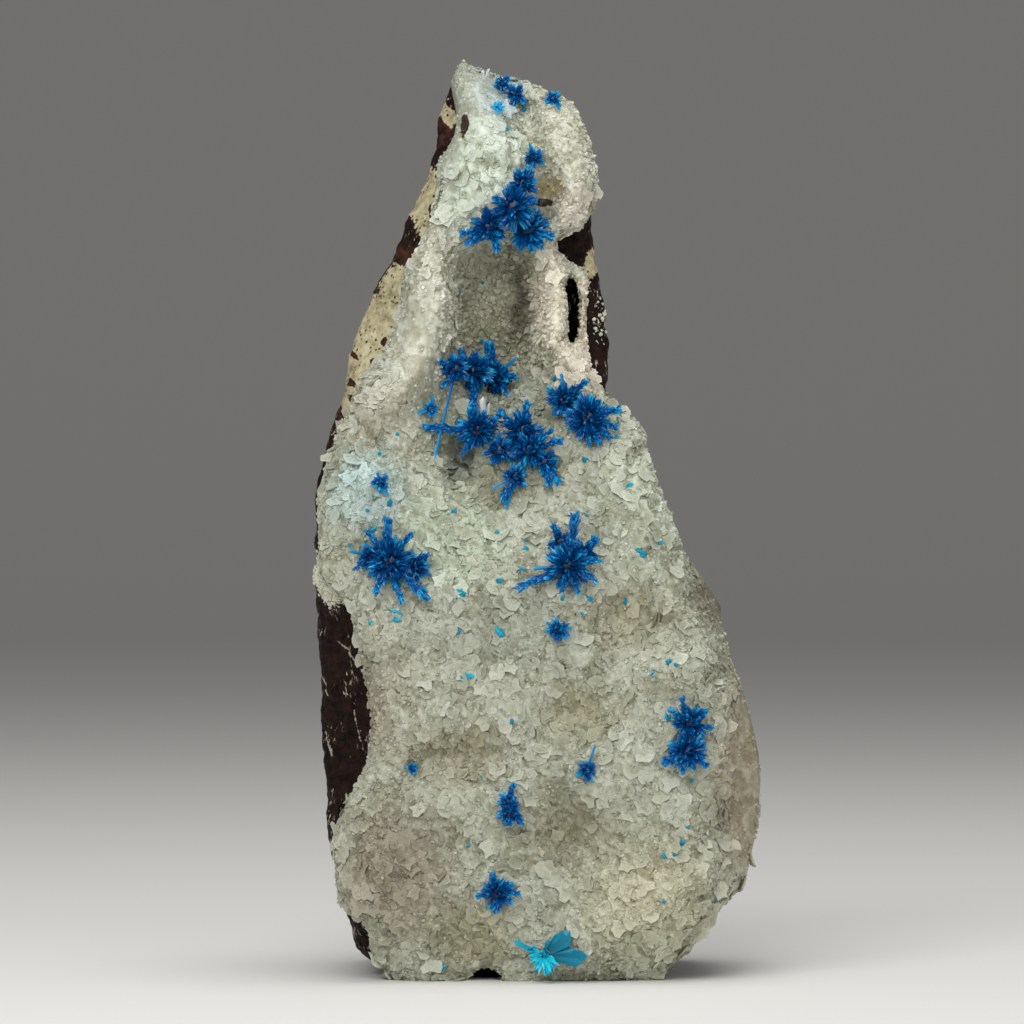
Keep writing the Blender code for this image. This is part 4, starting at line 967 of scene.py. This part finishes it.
# Single crystals loose on the crust: x, height, length, lean from upright, shade
looseCrystals = [
    (-15.7, 51.3, 0.8, 0.3, 0.3), (-21.9, 50.5, 0.5, 0.9, 0.6), (-18.1, 50.5, 0.4, 1.4, 0.6),
    (-8.9, 50.4, 0.6, 1.3, 0.5), (-17.5, 48.5, 0.8, 1.0, 0.8), (-20.0, 46.9, 0.5, 0.7, 0.6),
    (-4.0, 43.0, 0.7, 1.1, 0.5), (-8.1, 41.8, 1.1, -1.1, 0.6), (-8.7, 41.2, 0.4, 0.2, 0.5),
    (-15.0, 39.6, 1.5, -1.1, 0.7), (-15.0, 38.8, 1.0, 1.5, 0.75), (-17.8, 38.5, 0.5, 0.8, 0.7),
    (-8.4, 37.6, 0.6, 0.3, 0.5), (-4.0, 37.6, 1.2, -0.9, 0.85), (-7.5, 32.8, 1.4, 1.4, 0.8),
    (-4.3, 48.2, 0.4, 1.0, 0.7), (-1.2, 47.4, 0.4, 0.4, 0.8), (-1.2, 46.5, 0.6, -1.0, 0.75),
    (-1.6, 44.2, 0.7, 1.2, 0.6), (5.3, 50.0, 0.4, 1.4, 0.6), (2.8, 41.2, 0.7, 0.1, 0.4),
    (5.5, 41.1, 0.8, -0.8, 0.5), (9.4, 40.8, 0.7, 0.6, 0.4), (4.8, 39.5, 0.4, 0.2, 0.6),
    (11.1, 46.1, 1.3, -1.2, 0.6), (13.2, 47.0, 0.6, 0.6, 0.6), (14.0, 34.5, 0.7, 1.1, 0.5),
    (14.7, 34.1, 0.5, -0.9, 0.5), (12.4, 33.1, 0.7, 0.9, 0.6), (13.8, 28.5, 0.9, -0.3, 0.6),
    (15.2, 29.2, 0.5, 0.8, 0.5), (-2.7, 28.0, 0.6, 0.2, 0.4), (-6.1, 22.0, 0.4, 0.8, 0.6),
    (16.5, 21.7, 0.4, 1.0, 0.6), (16.0, 16.7, 0.5, 0.3, 0.7), (15.5, 15.1, 0.7, 0.4, 0.5),
    (13.5, 13.7, 0.6, -0.6, 0.6), (14.7, 13.9, 0.6, 0.8, 0.6), (13.5, 8.9, 0.4, 0.2, 0.5),
    (19.0, 8.7, 0.4, 1.0, 0.6), (22.8, 10.5, 0.4, 0.2, 0.6), (-7.3, 14.7, 0.4, 0.9, 0.6),
    (-10.1, 1.6, 0.8, 1.2, 0.8), (1.9, 64.8, 0.6, 0.6, 0.5), (5.2, 55.9, 0.7, 1.4, 0.4),
    (8.7, 59.9, 0.6, 0.5, 0.6), (8.6, 58.4, 0.6, 1.0, 0.6), (9.9, 53.2, 0.8, 1.2, 0.7),
    (-1.4, 63.2, 0.3, 0.4, 0.6), (-15.0, 58.7, 0.4, 0.9, 0.6), (-16.9, 56.6, 0.5, 0.2, 0.6),
    (-5.9, 75.5, 0.4, 0.5, 0.6), (-8.6, 74.5, 0.9, 0.1, 0.7), (-6.0, 69.1, 0.5, 0.8, 0.6),
    (-3.2, 91.8, 0.5, 0.2, 0.7), (-1.3, 94.3, 0.6, 0.4, 0.5), (-13.1, 78.2, 0.3, 0.9, 0.5),
]


def dressLoose():
    rng = random.Random(spray["looseSeed"])
    rows = []
    for x, z, length, lean, shade in looseCrystals:
        y = frontOf(skinTree, x, z)
        if y is None:
            continue
        aim = Vector((math.sin(lean), rng.uniform(-0.30, -0.05), math.cos(lean))).normalized()
        start = Vector((x, y, z)) - aim * length * 0.5 + front * 0.16
        width = 0.34 + 0.20 * min(length, 1.2)
        rows.append((start, aim, width, width * 0.75, length * 1.12, rng.uniform(-0.6, 0.6),
                     rng.randrange(spray["smallModels"]), 0.6 * shade))
        if length > 0.65:
            side = aim.cross(front).normalized() * rng.choice((-1, 1))
            rows.append((start + side * width * 0.3, (aim + side * 0.25).normalized(), width * 0.8,
                         width * 0.6, length * rng.uniform(0.5, 0.75), rng.uniform(-0.6, 0.6),
                         rng.randrange(spray["smallModels"]), shade * 0.45))
    return growCrystals("loose_crystals", rows)


# Colourless crystals: foot x, foot height, tip x, tip height, forward of the crust, width
clearCrystals = [
    (-5.75, 60.7, -5.95, 62.9, 1.6, 0.75), (-5.3, 60.9, -5.15, 62.2, 1.5, 0.35),
    (-5.5, 98.0, -5.2, 98.9, 0.0, 0.36), (-5.8, 98.0, -5.9, 98.7, 0.0, 0.32),
    (5.9, 88.9, 6.5, 89.1, -0.1, 0.28), (2.6, 51.0, 2.9, 51.6, 0.1, 0.35),
]


def dressClear():
    rows = []
    for footX, footZ, tipX, tipZ, forward, width in clearCrystals:
        # the crust may end just short of a foot, so the places beside it are tried too
        around = [(footX, footZ), (footX - 0.6, footZ), (footX, footZ - 0.6)]
        hits = [frontOf(skinTree, x, z) for x, z in around]
        start = Vector((footX, next(hit for hit in hits if hit is not None) - forward, footZ))
        tip = Vector((tipX, start.y - 0.2, tipZ))
        rows.append((start, (tip - start).normalized(), width, width * 0.7, (tip - start).length, 0.4,
                     spray["stemModel"], 0.0))
    return growCrystals("clear_crystals", rows)


# Floor, lights and camera

studio = {
    "focal": 192.4,
    "distance": 600.0,
    "aim": (-2.69, 50.33),
    "world": 0.17,
    "floor": 3.0,  # half the floor's width, and the height of the sweep behind it, in metres
    "bend": 1.4,
    "middle": (0.0, 0.0, 0.05),  # what the lamps point at
    "lamps": [("key", (-0.16, -0.48, 0.36), 0.40, 2.4), ("top", (0.05, -0.05, 0.60), 0.40, 1.5),
              ("fill", (0.34, -0.62, 0.14), 0.60, 1.7)],  # place in metres, size, watts
}


def softLamp(name, place, size, power):
    lamp = bpy.data.lights.new(name, "AREA")
    lamp.size = size
    lamp.energy = power
    holder = bpy.data.objects.new(name, lamp)
    bpy.context.scene.collection.objects.link(holder)
    holder.location = place
    holder.rotation_euler = (Vector(studio["middle"]) - Vector(place)).to_track_quat("-Z", "Y").to_euler()


def buildStudio():
    bm = bmesh.new()
    bmesh.ops.create_grid(bm, x_segments=1, y_segments=1, size=studio["floor"])
    back = [edge for edge in bm.edges if min(vert.co.y for vert in edge.verts) > 0.0]
    made = bmesh.ops.extrude_edge_only(bm, edges=back)["geom"]
    upper = [part for part in made if isinstance(part, bmesh.types.BMVert)]
    bmesh.ops.translate(bm, verts=upper, vec=(0.0, 0.0, studio["floor"]))
    corner = [edge for edge in bm.edges if len(edge.link_faces) == 2]
    bmesh.ops.bevel(bm, geom=corner, offset=studio["bend"], segments=12, profile=0.5, affect="EDGES",
                     material=-1)
    floor = linkMesh("paper_sweep", bm)
    floor.data.materials.append(paperMaterial)
    floor.data.polygons.foreach_set("use_smooth", [True] * len(floor.data.polygons))
    scene = bpy.context.scene
    world = bpy.data.worlds.new("studioAir")
    world.use_nodes = True
    world.node_tree.nodes["Background"].inputs["Color"].default_value = (1.0, 1.0, 1.0, 1.0)
    world.node_tree.nodes["Background"].inputs["Strength"].default_value = studio["world"]
    scene.world = world
    for lamp in studio["lamps"]:
        softLamp(*lamp)
    lens = bpy.data.cameras.new("camera")
    lens.lens = studio["focal"]
    lens.clip_start = 0.01
    camera = bpy.data.objects.new("camera", lens)
    scene.collection.objects.link(camera)
    aimX, aimZ = studio["aim"]
    camera.location = (aimX * mm, -studio["distance"] * mm, aimZ * mm)
    camera.rotation_euler = (math.pi / 2, 0.0, 0.0)
    scene.camera = camera
    scene.view_settings.view_transform = "Standard"


# Making

druseMaterial = makeDruseMaterial("milkyDruse", 0.15, 1.2)
plateMaterial = makeDruseMaterial("druseCrystals", 0.0, 0.4)
rockMaterial = makeRockMaterial()
blueMaterial = makeCrystalMaterial("bluePentagonite", "#00143f", "#065da8", "#1dbef3")
cyanMaterial = makeCrystalMaterial("palePentagonite", "#064a61", "#0a9ec1", "#25dbf3")
# Colourless zeolite prisms, and the matt paper sweep of a photographer's table
clearMaterial = makePlainMaterial("clearZeolite", {"Base Color": "#f2f6f6", "IOR": 1.5, "Roughness": 0.08,
                                                   "Transmission Weight": 0.5})
paperMaterial = makePlainMaterial("paperSweep", {"Base Color": "#eceae6", "Roughness": 0.9})

crustTree = surfaceOf(mergedCopy("druse_crust"))
skin = dressDruse()
skinTree = surfaceOf(openMesh(skin.data))
stone = dressRock()
print("crust and rock dressed")

blades = gather("bladeModels", [
    bladeCrystal("model_a", 4, 0.40, 0.66, 0.15), bladeCrystal("model_b", 6, 0.42, 0.76, -0.20),
    bladeCrystal("model_c", 5, 0.38, 0.58, 0.0), coreBall("model_d"),
    bladeCrystal("model_e", 6, 0.20, 0.84, 0.1),
    bladeCrystal("model_f", 4, 0.46, 0.93, 0.1),
])
bladeTree = placedTree(blades)
plateModels = gather("plateModels", [plateCrystal("plate_" + str(number), 10 + number, number)
                                     for number in range(4)])
grainModels = gather("grainModels", [
    grainCrystal("grain_0", 5, 0.8, 0.34, 0.25), grainCrystal("grain_1", 4, 0.9, 0.40, -0.3),
    grainCrystal("grain_2", 6, 0.7, 0.30, 0.2),
])
grounds = ((skin, plateModels), (skin, grainModels), (skin, grainModels), (stone, grainModels))
for number, ((name, *look), (ground, models)) in enumerate(zip(growths, grounds)):
    cover = bpy.data.objects.new(name, ground.data.copy())
    bpy.context.scene.collection.objects.link(cover)
    runNodes(cover, scatterTree(models, 40 + 10 * number, *look))
    finishPiece(cover, plateMaterial, "druse", rounded=False)
finishPiece(skin, druseMaterial, "druse", "druse_crust")
finishPiece(stone, rockMaterial, "basalt", "basalt_matrix")

for index, name in enumerate(sprays):
    piece = dressSpray(index, name)
    if name == "spray_foot_fan":
        finishPiece(piece, cyanMaterial, "pale_pentagonite", name, rounded=False)
    else:
        finishPiece(piece, blueMaterial, "pentagonite", name, rounded=False)
finishPiece(dressLoose(), cyanMaterial, "pale_pentagonite", rounded=False)
finishPiece(dressClear(), clearMaterial, "druse", rounded=False)
print("crystals grown")

for collection in (blades, plateModels, grainModels):
    for model in list(collection.objects):
        bpy.data.objects.remove(model)
    bpy.data.collections.remove(collection)

buildStudio()
